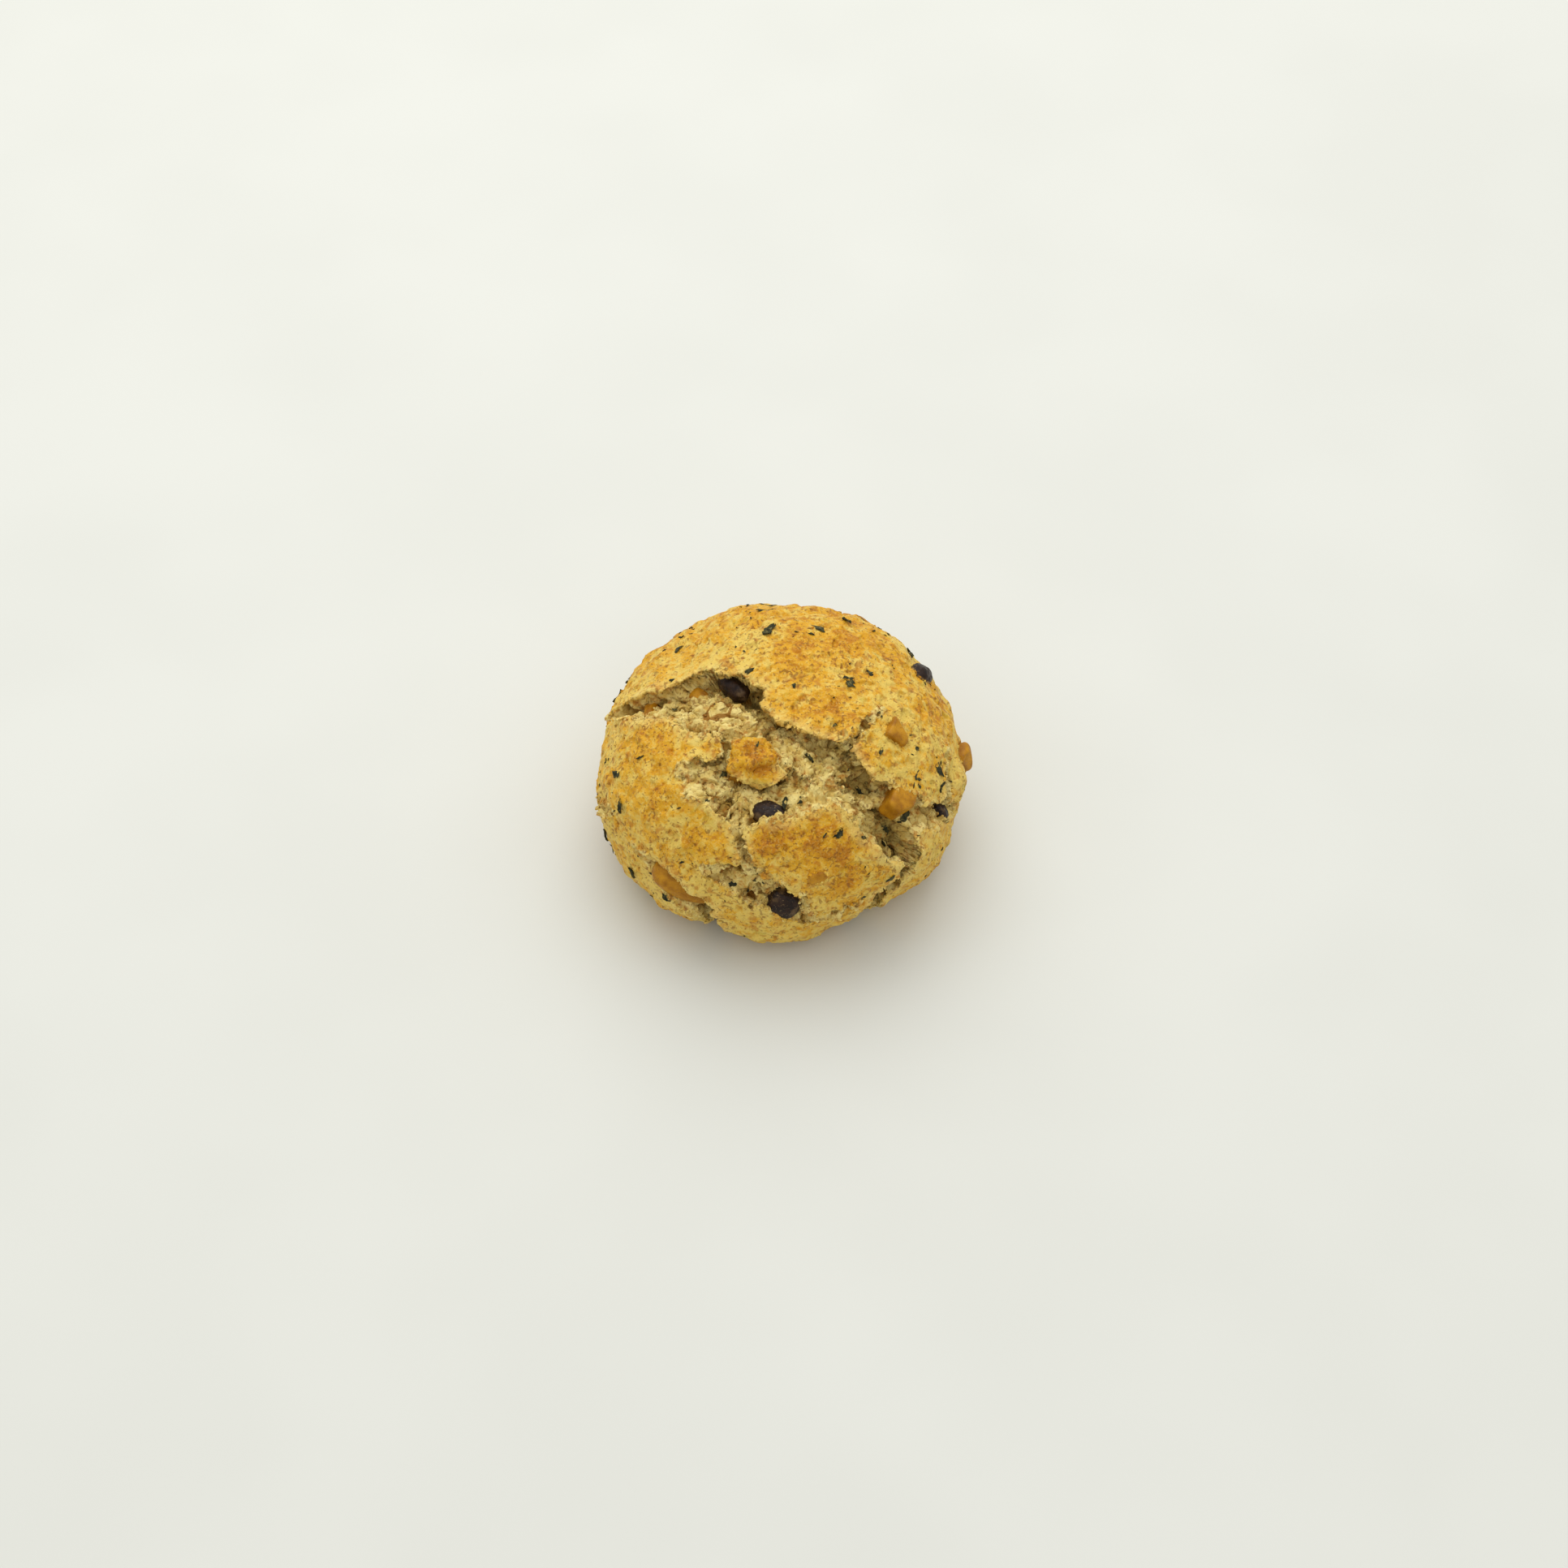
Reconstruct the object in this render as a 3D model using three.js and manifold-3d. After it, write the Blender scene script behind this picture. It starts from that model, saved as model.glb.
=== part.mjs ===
// A small round drop scone, torn open along the top, with chocolate chips, nut pieces and leaf flakes.
// Millimetres, +Z up. The torn side faces -Y. Places on the scone are given as a bearing about +Z,
// counted from +X, and a pitch above the horizontal, both in degrees, seen from the middle of the dough.
import * as THREE from 'three';
import { mergeVertices } from 'three/addons/utils/BufferGeometryUtils.js';
import Module from 'manifold-3d';

const wasm = await Module();
wasm.setup();

// Driving dimensions
const HALF_WIDTH = 34.9;
const HALF_DEPTH = 34.9;
const HEIGHT = 43.6;
const MIDDLE = 0.38 * HEIGHT;
const DOME = HEIGHT - MIDDLE;
const BELLY = 1.18 * MIDDLE;
const PLAN_POWER = 2.12;
const DOME_POWER = 2.25;
const BELLY_POWER = 3;
const PATH_RADIUS = 31;
const GAP = 0.3;

// Relief of the dough
const SWELL = { size: 9, height: 0.6, seed: 11 };
const WRINKLE = { size: 4, height: 0.35, seed: 12 };
const EDGE_WAVER = { size: 2.6, height: 0.9, seed: 1 };
const CLUMP = { size: 3.6, height: 1.6, seed: 21 };
const LIP_RISE = 0.35;

// How much softer the walls of the tears are in the mesh than in the form, so that its facets suit them
const SOFTENING = 1.8;

// Tears and creases. Each station of a path is bearing, pitch, half width and depth. A slant above 0 makes
// the floor deeper on the left of the path, as seen by someone who walks along it.
const TEARS = [
  {
    wall: 1.8, slant: 0.42,
    path: [
      [168, 10, 0.6, 1.4], [175, 23, 2.6, 3.4], [177, 32, 4.2, 4], [181, 43, 5.6, 4.4], [184, 54, 8, 4.4],
      [197, 62, 9, 4.2], [214, 67, 9, 4], [231, 67, 7, 3.8], [248, 66, 5, 3.8], [270, 63, 4.8, 3.8],
      [288, 56, 5.6, 3.8], [298, 49, 6.4, 4], [301, 43, 5.6, 4.2], [305, 38, 5.2, 4.4],
      [309.5, 32.5, 5, 4.2], [314, 28, 4.6, 3.6], [319, 24, 3.4, 3.4], [326, 17, 2.1, 3.2],
      [346, 2, 0.9, 3],
    ],
  },
  {
    wall: 1.5, slant: 0.5,
    path: [
      [226, 40, 1.2, 1], [230, 41, 2.8, 2.4], [237, 41, 4.2, 3], [245, 40, 4.3, 3.4], [254, 38, 3.8, 3.4],
      [264, 39, 3.4, 3.2], [274, 42, 3.7, 3.4], [284, 42, 3, 3],
    ],
  },
  {
    wall: 0.9, slant: 0,
    path: [
      [231, 58, 1.1, 1.2], [237, 53, 1.4, 1.7], [240, 48, 1.4, 1.7], [243, 44, 1.1, 1.2],
    ],
  },
  {
    wall: 0.8, slant: 0,
    path: [
      [308, 56, 0.5, 0.5], [320, 53, 0.6, 1.3], [333, 54, 0.6, 1.1], [344, 52, 0.5, 0.4],
    ],
  },
  {
    wall: 0.9, slant: 0,
    path: [
      [254, 34, 1.2, 2.4], [255, 30, 0.9, 3.2], [257, 26, 0.8, 3.2], [259, 23, 0.9, 2.8],
      [262, 17, 1.4, 2],
    ],
  },
  {
    wall: 1.6, slant: 0,
    path: [
      [249, 14, 1.4, 1.2], [256, 13, 2.6, 1.8], [262, 11, 3.4, 2.2], [268, 8, 4.2, 2.8],
      [274, 4, 3.8, 2.8], [279, -1, 1.6, 1.6],
    ],
  },
  {
    wall: 0.9, slant: 0,
    path: [
      [277, -1, 0.8, 1.4], [282, -4, 0.9, 1.5], [290, -4, 0.8, 1.2], [296, -2, 0.6, 0.5],
    ],
  },
  {
    wall: 2, slant: 0,
    path: [
      [222, 7, 0.8, 0.8], [229, 6, 1.6, 2.6], [236, 4, 2.3, 3.8], [243, 0, 2.5, 5], [248, -6, 2.7, 6.5],
      [249, -16, 2.8, 7.5], [248, -30, 2.2, 5], [248, -42, 1, 2],
    ],
  },
  { wall: 1, slant: 0, path: [[194, 1, 0.8, 1.2], [200, 5, 0.9, 1.2], [208, 10, 0.7, 0.5]] },
  {
    wall: 1.5, slant: 0,
    path: [
      [305, 29, 3.4, 4], [308, 23, 3.6, 6.6], [312, 17, 3.2, 7.6], [314, 11, 2.4, 7.6], [313, 5, 2.2, 7],
      [310, 0, 2.2, 6], [306, -6, 2.4, 6], [304, -14, 2.6, 6], [303, -26, 2, 5], [303, -40, 1, 2],
    ],
  },
  {
    wall: 0.9, slant: 0,
    path: [
      [352, 22, 0.6, 0.8], [345, 17, 0.8, 1.4], [341, 11, 1.2, 3], [336, 12, 1.6, 4],
    ],
  },
  {
    wall: 1.2, slant: 0,
    path: [
      [50, 16, 0.7, 0.6], [60, 12, 1.3, 2], [72, 9, 1.6, 2.6], [84, 12, 1.2, 1.8], [94, 9, 0.7, 0.6],
    ],
  },
  {
    wall: 1.5, slant: 0,
    path: [
      [126, 10, 0.8, 0.8], [124, 2, 1.3, 2.2], [119, -10, 1.6, 3], [118, -26, 1.2, 2],
    ],
  },
];

// Deeper hollows in the floor of the tears
const HOLLOWS = [
  { wall: 1.1, path: [[186, 62, 1.2, 1.2], [184, 69, 2.2, 3], [196, 74, 2.4, 3.2], [221, 76, 1.4, 1.6]] },
  { wall: 1.2, path: [[180, 38, 1, 1], [184, 47, 1.4, 1.8], [186, 55, 1, 1]] },
  { wall: 1.2, path: [[296, 60, 1.2, 1], [298, 52, 1.8, 2], [305, 45, 1.4, 1.4]] },
  { wall: 1.2, path: [[304, 38, 1.6, 2], [310, 36, 2.4, 3.2], [314, 33, 1.8, 2.6]] },
  { wall: 1.2, path: [[240, 43, 1.2, 1], [252, 44, 1.6, 2], [262, 45, 1.3, 1.6]] },
  {
    wall: 0.8,
    path: [
      [110, 54, 0.4, 0.3], [100, 51, 0.7, 0.7], [88, 46, 0.8, 0.9], [76, 43, 0.7, 0.7], [68, 36, 0.4, 0.3],
    ],
  },
];

// A knob of crust left standing inside the tear. Each station is bearing, pitch, half width and lift.
const KNOBS = [
  { wall: 1, path: [[249, 54, 2.7, 1.2], [254, 55, 3.4, 2], [259, 55, 2.4, 1.6]] },
];

// Broad lumps and dents: bearing, pitch, spread in degrees and height
const LUMPS = [
  [105, 62, 30, 0.5], [328, 60, 20, 1.4], [218, 28, 24, 0.8], [287, 20, 20, 1], [310, 18, 9, 1.6],
  [238, -6, 12, 1], [323, 4, 12, 1.2], [352, 7, 6, 1.6], [203, 2, 16, 0.6], [148, 40, 24, -3.2],
  [20, 6, 14, 0.6], [128, -4, 18, 0.8], [70, -6, 16, 0.8], [265, 74, 22, -0.8], [305, -18, 15, -3],
  [246, -18, 7, -1.4], [271, -20, 12, 0.6],
];

// Chocolate chips: bearing, pitch, length, width, height, turn in degrees and how far the middle
// lies above the surface
const CHIPS = [
  [163, 66, 7.6, 4.4, 4, 0, 0.3],
  [25, 28, 4.8, 5.8, 4.6, 20, -0.7],
  [266, 35, 6.4, 4.6, 4.2, 8, -0.5],
  [273, 0.5, 6.6, 6, 4.6, -20, 0.3],
  [339, 6, 5.2, 4, 4, 30, -0.6],
  [104, 6, 6.6, 5.6, 4.6, 40, -1.2],
];

// Nut pieces: name, bearing, pitch, length, width, height, turn, how far the middle lies above the
// surface, and the power that sets how square the piece is
const NUTS = [
  ['nut_half', 238, -1, 14, 7.4, 6, -28, 1.3, 2.3],
  ['nut_cube', 319.5, 24.5, 6.4, 5.4, 5, 6, 1.5, 6],
  ['nut_chunk', 339, 44, 5.8, 5.2, 4.2, 24, -0.6, 4],
  ['nut_edge', 5, 4, 5, 5.4, 4.6, 10, 0, 3.5],
  ['nut_sliver', 250, 43.5, 6.6, 3, 2.8, -4, 1.2, 3],
  ['nut_bit', 283, 15, 4.2, 2.8, 2.8, 20, -0.4, 3],
  ['nut_slit', 175, 29, 5, 3, 3, 30, 0.2, 3],
  ['nut_inner', 169, 47, 4, 3.2, 3, 15, 0.6, 3],
  ['nut_back', 62, 20, 6.4, 5, 4.4, 50, -1.1, 4],
];

// The largest leaf flakes on the crust: bearing, pitch, length, width and turn in degrees
const FLAKES = [
  [102, 62, 3.8, 2.8, 25], [68, 57, 4.4, 2.2, -5], [100, 45, 3.4, 1.6, -20], [97, 34, 3.6, 1.2, 5],
  [343, 23, 4.4, 1.8, 70], [203, 21, 2.6, 1.8, 30], [40, 22, 3.8, 2, -25], [140, 30, 3.8, 2, 35],
];
const FLAKE_THICKNESS = 0.7;
const FLAKE_OUTLINE = [
  [-0.5, -0.1], [-0.22, -0.46], [0.14, -0.3], [0.5, -0.22], [0.34, 0.26], [0.02, 0.5], [-0.3, 0.3],
];

// Meshing
const GRID = 64;
const REACH = 150;
const LEAN = 0.2;
const PATH_STEPS = 6;

// Random number from 0 to 1 for a point of a whole-number lattice
function latticeValue(ix, iy, iz, seed) {
  let h = Math.imul(ix, 374761393) + Math.imul(iy, 668265263);
  h = (h + Math.imul(iz, 2246822519) + Math.imul(seed, 3266489917)) | 0;
  h = Math.imul(h ^ (h >>> 13), 1274126177);
  h ^= h >>> 16;
  return (h >>> 0) / 4294967295;
}

// Smooth noise from -1 to 1, blended between lattice values that lie size apart
function smoothNoise(point, { size, seed }) {
  const place = point.toArray().map((value) => value / size + 100);
  const cell = place.map(Math.floor);
  const fade = place.map((value, k) => {
    const t = value - cell[k];
    return t * t * t * (t * (t * 6 - 15) + 10);
  });
  let total = 0;
  for (let corner = 0; corner < 8; corner += 1) {
    const step = [corner & 1, (corner >> 1) & 1, corner >> 2];
    const share = step.reduce((product, on, k) => product * (on ? fade[k] : 1 - fade[k]), 1);
    total += share * latticeValue(cell[0] + step[0], cell[1] + step[1], cell[2] + step[2], seed);
  }
  return total * 2 - 1;
}

// Rounded clumps: 0 in the cracks between scattered points, and up to 1 at the points
function clumps(point, { size, seed }) {
  const place = point.toArray().map((value) => value / size + 100);
  const cell = place.map(Math.floor);
  let nearest = 9;
  let tallness = 0;
  for (let k = 0; k < 27; k += 1) {
    const steps = [(k % 3) - 1, (Math.floor(k / 3) % 3) - 1, Math.floor(k / 9) - 1];
    const spot = steps.map((step, axis) => step + cell[axis]);
    const away = spot.reduce((sum, base, axis) => {
      const offset = place[axis] - base - latticeValue(...spot, seed + axis);
      return sum + offset * offset;
    }, 0);
    if (away < nearest) {
      nearest = away;
      tallness = latticeValue(...spot, seed + 3);
    }
  }
  return Math.max(0, 1 - nearest) * (0.55 + 0.45 * tallness);
}

function smoothStep(value) {
  const t = Math.min(Math.max(value, 0), 1);
  return t * t * (3 - 2 * t);
}

// Unit vector for a bearing and a pitch in degrees
function heading(bearing, pitch) {
  const turn = THREE.MathUtils.degToRad(bearing);
  const rise = THREE.MathUtils.degToRad(pitch);
  return new THREE.Vector3(Math.cos(rise) * Math.cos(turn), Math.cos(rise) * Math.sin(turn), Math.sin(rise));
}

// Value of a Catmull-Rom curve between b and c
function blend(a, b, c, d, t) {
  const square = 2 * a - 5 * b + 4 * c - d;
  const cube = 3 * b - a - 3 * c + d;
  return 0.5 * (2 * b + (c - a) * t + square * t * t + cube * t * t * t);
}

// Smooth path through the stations, on a sphere of the path radius: rows of x, y, z, width and depth
function smoothPath(stations) {
  const rows = stations.map(([bearing, pitch, width, depth]) => [
    ...heading(bearing, pitch).multiplyScalar(PATH_RADIUS).toArray(), width, depth]);
  const last = rows.length - 1;
  const before = rows[0].map((value, k) => 2 * value - rows[1][k]);
  const after = rows[last].map((value, k) => 2 * value - rows[last - 1][k]);
  const padded = [before, ...rows, after];
  const path = [];
  for (let span = 0; span < last; span += 1) {
    for (let step = 0; step < PATH_STEPS; step += 1) {
      const t = step / PATH_STEPS;
      path.push(rows[0].map((_, k) => blend(...padded.slice(span, span + 4).map((row) => row[k]), t)));
    }
  }
  path.push(rows[last]);
  return path;
}

// Distance from a point to a path, with the half width and depth of the path at the nearest place, and
// the side: above 0 on the left of the path, and 1 at its edge
function nearestOnPath(point, path) {
  let best = { distance: Infinity };
  for (let k = 0; k < path.length - 1; k += 1) {
    const [ax, ay, az, width, depth] = path[k];
    const [bx, by, bz, nextWidth, nextDepth] = path[k + 1];
    const line = new THREE.Line3(new THREE.Vector3(ax, ay, az), new THREE.Vector3(bx, by, bz));
    const t = line.closestPointToPointParameter(point, true);
    const away = line.at(t, new THREE.Vector3()).sub(point);
    if (away.length() < best.distance) {
      const left = point.clone().cross(line.delta(new THREE.Vector3())).normalize();
      const here = width + t * (nextWidth - width);
      const side = -away.dot(left) / here;
      best = { distance: away.length(), width: here, depth: depth + t * (nextDepth - depth), side };
    }
  }
  return best;
}

const withPath = (feature) => ({ ...feature, path: smoothPath(feature.path) });
const tears = TEARS.map(withPath);
const hollows = HOLLOWS.map(withPath);
const knobs = KNOBS.map(withPath);
const lumps = LUMPS.map(([bearing, pitch, spread, height]) => ({
  toward: heading(bearing, pitch), spread: THREE.MathUtils.degToRad(spread), height }));

// Radius of the plain loaf: a superellipse in plan, with a higher dome than belly
function plainRadius(direction) {
  const across = (Math.abs(direction.x) / HALF_WIDTH) ** PLAN_POWER;
  const along = (Math.abs(direction.y) / HALF_DEPTH) ** PLAN_POWER;
  const plan = (across + along) ** (1 / PLAN_POWER);
  const upright = direction.z > 0 ? DOME : BELLY;
  const power = direction.z > 0 ? DOME_POWER : BELLY_POWER;
  return (plan ** power + (Math.abs(direction.z) / upright) ** power) ** (-1 / power);
}

// Point of the dough's surface in a direction from its middle, before the foot is cut flat
function doughPoint(direction, softening = 0) {
  const spot = direction.clone().multiplyScalar(PATH_RADIUS);
  const waver = EDGE_WAVER.height * smoothNoise(spot, EDGE_WAVER);
  let depth = 0;
  let torn = 0;
  let lip = 0;
  for (const { wall, slant, path } of tears) {
    const near = nearestOnPath(spot, path);
    const edge = near.distance + waver * Math.min(1, near.width / 2.5);
    const floor = near.depth * (1 + slant * THREE.MathUtils.clamp(near.side, -1, 1));
    depth = Math.max(depth, floor * smoothStep((near.width - edge) / (wall + softening) + 0.35));
    torn = Math.max(torn, smoothStep((near.width - edge) / 0.7 + 0.9));
    lip = Math.max(lip, Math.min(near.depth / 4, 1) * Math.exp(-(((edge - near.width - 0.7) / 1.3) ** 2)));
  }
  for (const { wall, path } of hollows) {
    const near = nearestOnPath(spot, path);
    depth += near.depth * smoothStep((near.width - near.distance - waver * 0.8) / (wall + softening) + 0.3);
  }
  for (const { wall, path } of knobs) {
    const near = nearestOnPath(spot, path);
    const share = smoothStep((near.width - near.distance - waver) / (wall + softening) + 0.3);
    depth = depth * (1 - share) - near.depth * share;
    torn *= 1 - share;
  }
  let radius = plainRadius(direction) - depth + LIP_RISE * lip;
  for (const { toward, spread, height } of lumps) {
    radius += height * Math.exp(-((direction.angleTo(toward) / spread) ** 2));
  }
  radius += SWELL.height * smoothNoise(spot, SWELL) + WRINKLE.height * smoothNoise(spot, WRINKLE);
  radius += torn * CLUMP.height * (clumps(spot, CLUMP) - 0.45);
  return direction.clone().multiplyScalar(radius).add(new THREE.Vector3(0, 0, MIDDLE));
}

// Outward normal of the dough, taken over a patch about 4 mm wide
function doughNormal(direction) {
  const side = new THREE.Vector3(0, 0, 1).cross(direction).normalize();
  const ahead = direction.clone().cross(side);
  const reach = 2 / PATH_RADIUS;
  const at = (s, a) => {
    const shifted = direction.clone().addScaledVector(side, s * reach).addScaledVector(ahead, a * reach);
    return doughPoint(shifted.normalize());
  };
  const across = at(1, 0).sub(at(-1, 0));
  const along = at(0, 1).sub(at(0, -1));
  const normal = across.cross(along).normalize();
  return normal.dot(direction) < 0 ? normal.negate() : normal;
}

// Direction for a point of the square from -1 to 1: the square becomes a disc, the disc a globe that is
// closed at the bottom, with its finest part leaned toward the torn side
function squareToDirection(a, b) {
  const flat = Math.abs(a) > Math.abs(b);
  const reach = flat ? a : b;
  const angle = flat ? (Math.PI / 4) * (b / a) : Math.PI / 2 - (Math.PI / 4) * (b === 0 ? 0 : a / b);
  const x = reach * Math.cos(angle);
  const y = reach * Math.sin(angle) - LEAN * (1 - reach * reach);
  const radius = Math.hypot(x, y);
  const atRim = Math.max(Math.abs(a), Math.abs(b)) > 1 - 1e-9;
  if (atRim) return new THREE.Vector3(0, 0, -1);
  return heading(THREE.MathUtils.radToDeg(Math.atan2(y, x)), 90 - REACH * radius);
}

// Solid for joining and cutting, from a closed geometry
function toSolid(geometry) {
  const bare = geometry.clone();
  bare.deleteAttribute('normal');
  bare.deleteAttribute('uv');
  const merged = mergeVertices(bare, 1e-4);
  const source = merged.index.array;
  const corners = [];
  for (let k = 0; k < source.length; k += 3) {
    const [a, b, c] = [source[k], source[k + 1], source[k + 2]];
    if (a !== b && b !== c && c !== a) corners.push(a, b, c);
  }
  const vertProperties = new Float32Array(merged.attributes.position.array);
  return new wasm.Manifold(new wasm.Mesh({ numProp: 3, vertProperties, triVerts: new Uint32Array(corners) }));
}

// Geometry from a joined or cut solid
function toGeometry(solid) {
  const mesh = solid.getMesh();
  const geometry = new THREE.BufferGeometry();
  geometry.setAttribute('position', new THREE.BufferAttribute(new Float32Array(mesh.vertProperties), 3));
  geometry.setIndex(new THREE.BufferAttribute(new Uint32Array(mesh.triVerts), 1));
  geometry.computeVertexNormals();
  return geometry;
}

// Moves every vertex of a geometry by a function
function reshape(geometry, move) {
  const { position } = geometry.attributes;
  for (let k = 0; k < position.count; k += 1) {
    const point = move(new THREE.Vector3().fromBufferAttribute(position, k));
    position.setXYZ(k, point.x, point.y, point.z);
  }
  return geometry;
}

// Splits each square of a grid along its shorter diagonal, so that steep walls keep clean edges
function splitByShorterDiagonal(geometry, columns) {
  const { position } = geometry.attributes;
  const corner = (k) => new THREE.Vector3().fromBufferAttribute(position, k);
  const triangles = [];
  for (let row = 0; row < columns; row += 1) {
    for (let column = 0; column < columns; column += 1) {
      const a = row * (columns + 1) + column;
      const [b, c, d] = [a + columns + 1, a + columns + 2, a + 1];
      const falling = corner(a).distanceTo(corner(c)) < corner(b).distanceTo(corner(d));
      triangles.push(...(falling ? [a, b, c, a, c, d] : [a, b, d, b, c, d]));
    }
  }
  geometry.setIndex(triangles);
  return geometry;
}

function doughBody() {
  const skin = new THREE.PlaneGeometry(2, 2, GRID, GRID);
  reshape(skin, (point) => doughPoint(squareToDirection(point.x, point.y), SOFTENING));
  const ground = new THREE.BoxGeometry(200, 200, 100).translate(0, 0, -50);
  return toSolid(splitByShorterDiagonal(skin, GRID)).subtract(toSolid(ground));
}

// Frame on the surface at a bearing and pitch: +Z out of the dough, +X level and turned by an angle
function surfaceFrame(bearing, pitch, turn, lift) {
  const direction = heading(bearing, pitch);
  const out = doughNormal(direction);
  const level = new THREE.Vector3(0, 0, 1).cross(out).normalize();
  const up = out.clone().cross(level);
  const frame = new THREE.Matrix4().makeBasis(level, up, out);
  frame.multiply(new THREE.Matrix4().makeRotationZ(THREE.MathUtils.degToRad(turn)));
  return frame.setPosition(doughPoint(direction).addScaledVector(out, lift));
}

// A lump between a ball and a box, a little uneven, grown outward by an allowance
function grain(length, width, height, power, seed, allowance) {
  const half = [length, width, height].map((size) => size / 2 + allowance);
  return reshape(new THREE.IcosahedronGeometry(1, 2), (point) => {
    const [x, y, z] = point.toArray().map(Math.abs);
    const reach = (x ** power + y ** power + z ** power) ** (-1 / power);
    const uneven = 1 + 0.07 * smoothNoise(point, { size: 0.7, seed });
    return point.multiplyScalar(reach * uneven).multiply(new THREE.Vector3(...half));
  });
}

// Thin leaf flake, lying on the surface at its middle height
function flake(bearing, pitch, length, width, turn) {
  const outline = FLAKE_OUTLINE.map(([x, y]) => new THREE.Vector2(x * length, y * width));
  const shape = new THREE.Shape(outline);
  const plate = new THREE.ExtrudeGeometry(shape, { depth: FLAKE_THICKNESS, bevelEnabled: false });
  plate.translate(0, 0, -FLAKE_THICKNESS / 2);
  return plate.applyMatrix4(surfaceFrame(bearing, pitch, turn, 0.1));
}

const doughLook = new THREE.MeshStandardMaterial({ color: 0xd9a860, roughness: 0.85, metalness: 0 });
const chocolateLook = new THREE.MeshStandardMaterial({ color: 0x2c2024, roughness: 0.4, metalness: 0 });
const nutLook = new THREE.MeshStandardMaterial({ color: 0xc08538, roughness: 0.55, metalness: 0 });

const group = new THREE.Group();

// Each chip and nut sits in a pocket that keeps a small gap to it all round
function setInDough(body, name, look, shape, frame) {
  const piece = grain(...shape, 0).applyMatrix4(frame);
  const pocket = grain(...shape, GAP).applyMatrix4(frame);
  const mesh = new THREE.Mesh(mergeVertices(toGeometry(toSolid(piece))), look);
  mesh.name = name;
  group.add(mesh);
  return body.subtract(toSolid(pocket));
}

let dough = doughBody();
for (const [bearing, pitch, length, width, turn] of FLAKES) {
  dough = dough.add(toSolid(flake(bearing, pitch, length, width, turn)));
}
CHIPS.forEach(([bearing, pitch, length, width, height, turn, lift], k) => {
  const shape = [length, width, height, 2.5, 50 + k];
  dough = setInDough(dough, `chip_${k + 1}`, chocolateLook, shape, surfaceFrame(bearing, pitch, turn, lift));
});
NUTS.forEach(([name, bearing, pitch, length, width, height, turn, lift, power], k) => {
  const shape = [length, width, height, power, 70 + k];
  dough = setInDough(dough, name, nutLook, shape, surfaceFrame(bearing, pitch, turn, lift));
});

const doughMesh = new THREE.Mesh(toGeometry(dough), doughLook);
doughMesh.name = 'dough';
group.add(doughMesh);

// The origin is at the bottom, in the middle of the whole scone
const extent = new THREE.Box3().setFromObject(group);
const centre = extent.getCenter(new THREE.Vector3());
group.position.set(-centre.x, -centre.y, 0);

export default group;
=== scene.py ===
# %% [markdown]
# # A torn drop scone
# A small round scone that split open while it baked. The crust is golden and speckled, the split shows
# pale crumb, and chocolate chips, nut pieces and leaf flakes sit in the dough. It could be sculpted by
# hand, but here every surface is worked out from named sizes, so that each one can be changed and read.

# %% Load the frame
import bpy
import numpy as np
from mathutils import Matrix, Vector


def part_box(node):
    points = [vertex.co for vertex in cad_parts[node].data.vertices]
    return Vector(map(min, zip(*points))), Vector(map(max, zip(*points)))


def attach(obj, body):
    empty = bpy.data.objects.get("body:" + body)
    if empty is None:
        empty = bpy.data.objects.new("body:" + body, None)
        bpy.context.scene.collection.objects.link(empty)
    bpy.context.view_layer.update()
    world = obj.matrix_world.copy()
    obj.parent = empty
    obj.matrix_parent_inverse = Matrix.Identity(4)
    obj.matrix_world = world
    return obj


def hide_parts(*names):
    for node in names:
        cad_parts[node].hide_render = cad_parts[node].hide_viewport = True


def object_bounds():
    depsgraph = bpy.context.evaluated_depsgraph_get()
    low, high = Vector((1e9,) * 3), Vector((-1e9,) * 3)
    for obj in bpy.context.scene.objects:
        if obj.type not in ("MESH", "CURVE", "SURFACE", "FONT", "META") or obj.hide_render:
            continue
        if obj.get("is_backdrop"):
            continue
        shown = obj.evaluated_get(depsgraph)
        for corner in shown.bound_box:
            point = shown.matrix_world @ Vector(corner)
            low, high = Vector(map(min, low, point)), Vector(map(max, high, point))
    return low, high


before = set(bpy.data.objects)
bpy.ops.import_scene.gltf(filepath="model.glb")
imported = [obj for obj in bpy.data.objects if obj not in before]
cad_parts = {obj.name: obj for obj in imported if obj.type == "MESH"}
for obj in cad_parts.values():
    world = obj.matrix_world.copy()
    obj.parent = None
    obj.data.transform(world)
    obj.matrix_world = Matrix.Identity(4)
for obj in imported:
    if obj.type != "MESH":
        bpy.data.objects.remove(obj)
cad_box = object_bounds()
MM = 0.001
print("CAD box", cad_box)

# %% [markdown]
# ## Camera
# The photograph looks down on the scone at about 50 degrees. A camera could be turned by hand until the
# picture fits. Here its axes are worked out from the elevation and the roll, and its place from the
# distance and the pixel where the middle of the foot shows, so the match can be checked in numbers.

# %% Camera
# Pixels of the photograph, then radians, metres, and millimetres for the width of the sensor
PICTURE_SIDE = 1932
FOCAL_PIXELS = 4025
ELEVATION = np.radians(49.65)
ROLL = np.radians(1.9)
DISTANCE = 0.645
FOOT_PIXEL = (958.5, 1016.5)
SENSOR = 36


def stand(thing, right, up, back, spot):
    """Puts a camera or a lamp in its spot, turned so that it looks away from its back axis."""
    rows = np.eye(4)
    rows[:3] = np.stack([right, up, back, spot], -1)
    thing.matrix_world = Matrix(rows.tolist())
    bpy.context.scene.collection.objects.link(thing)


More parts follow.
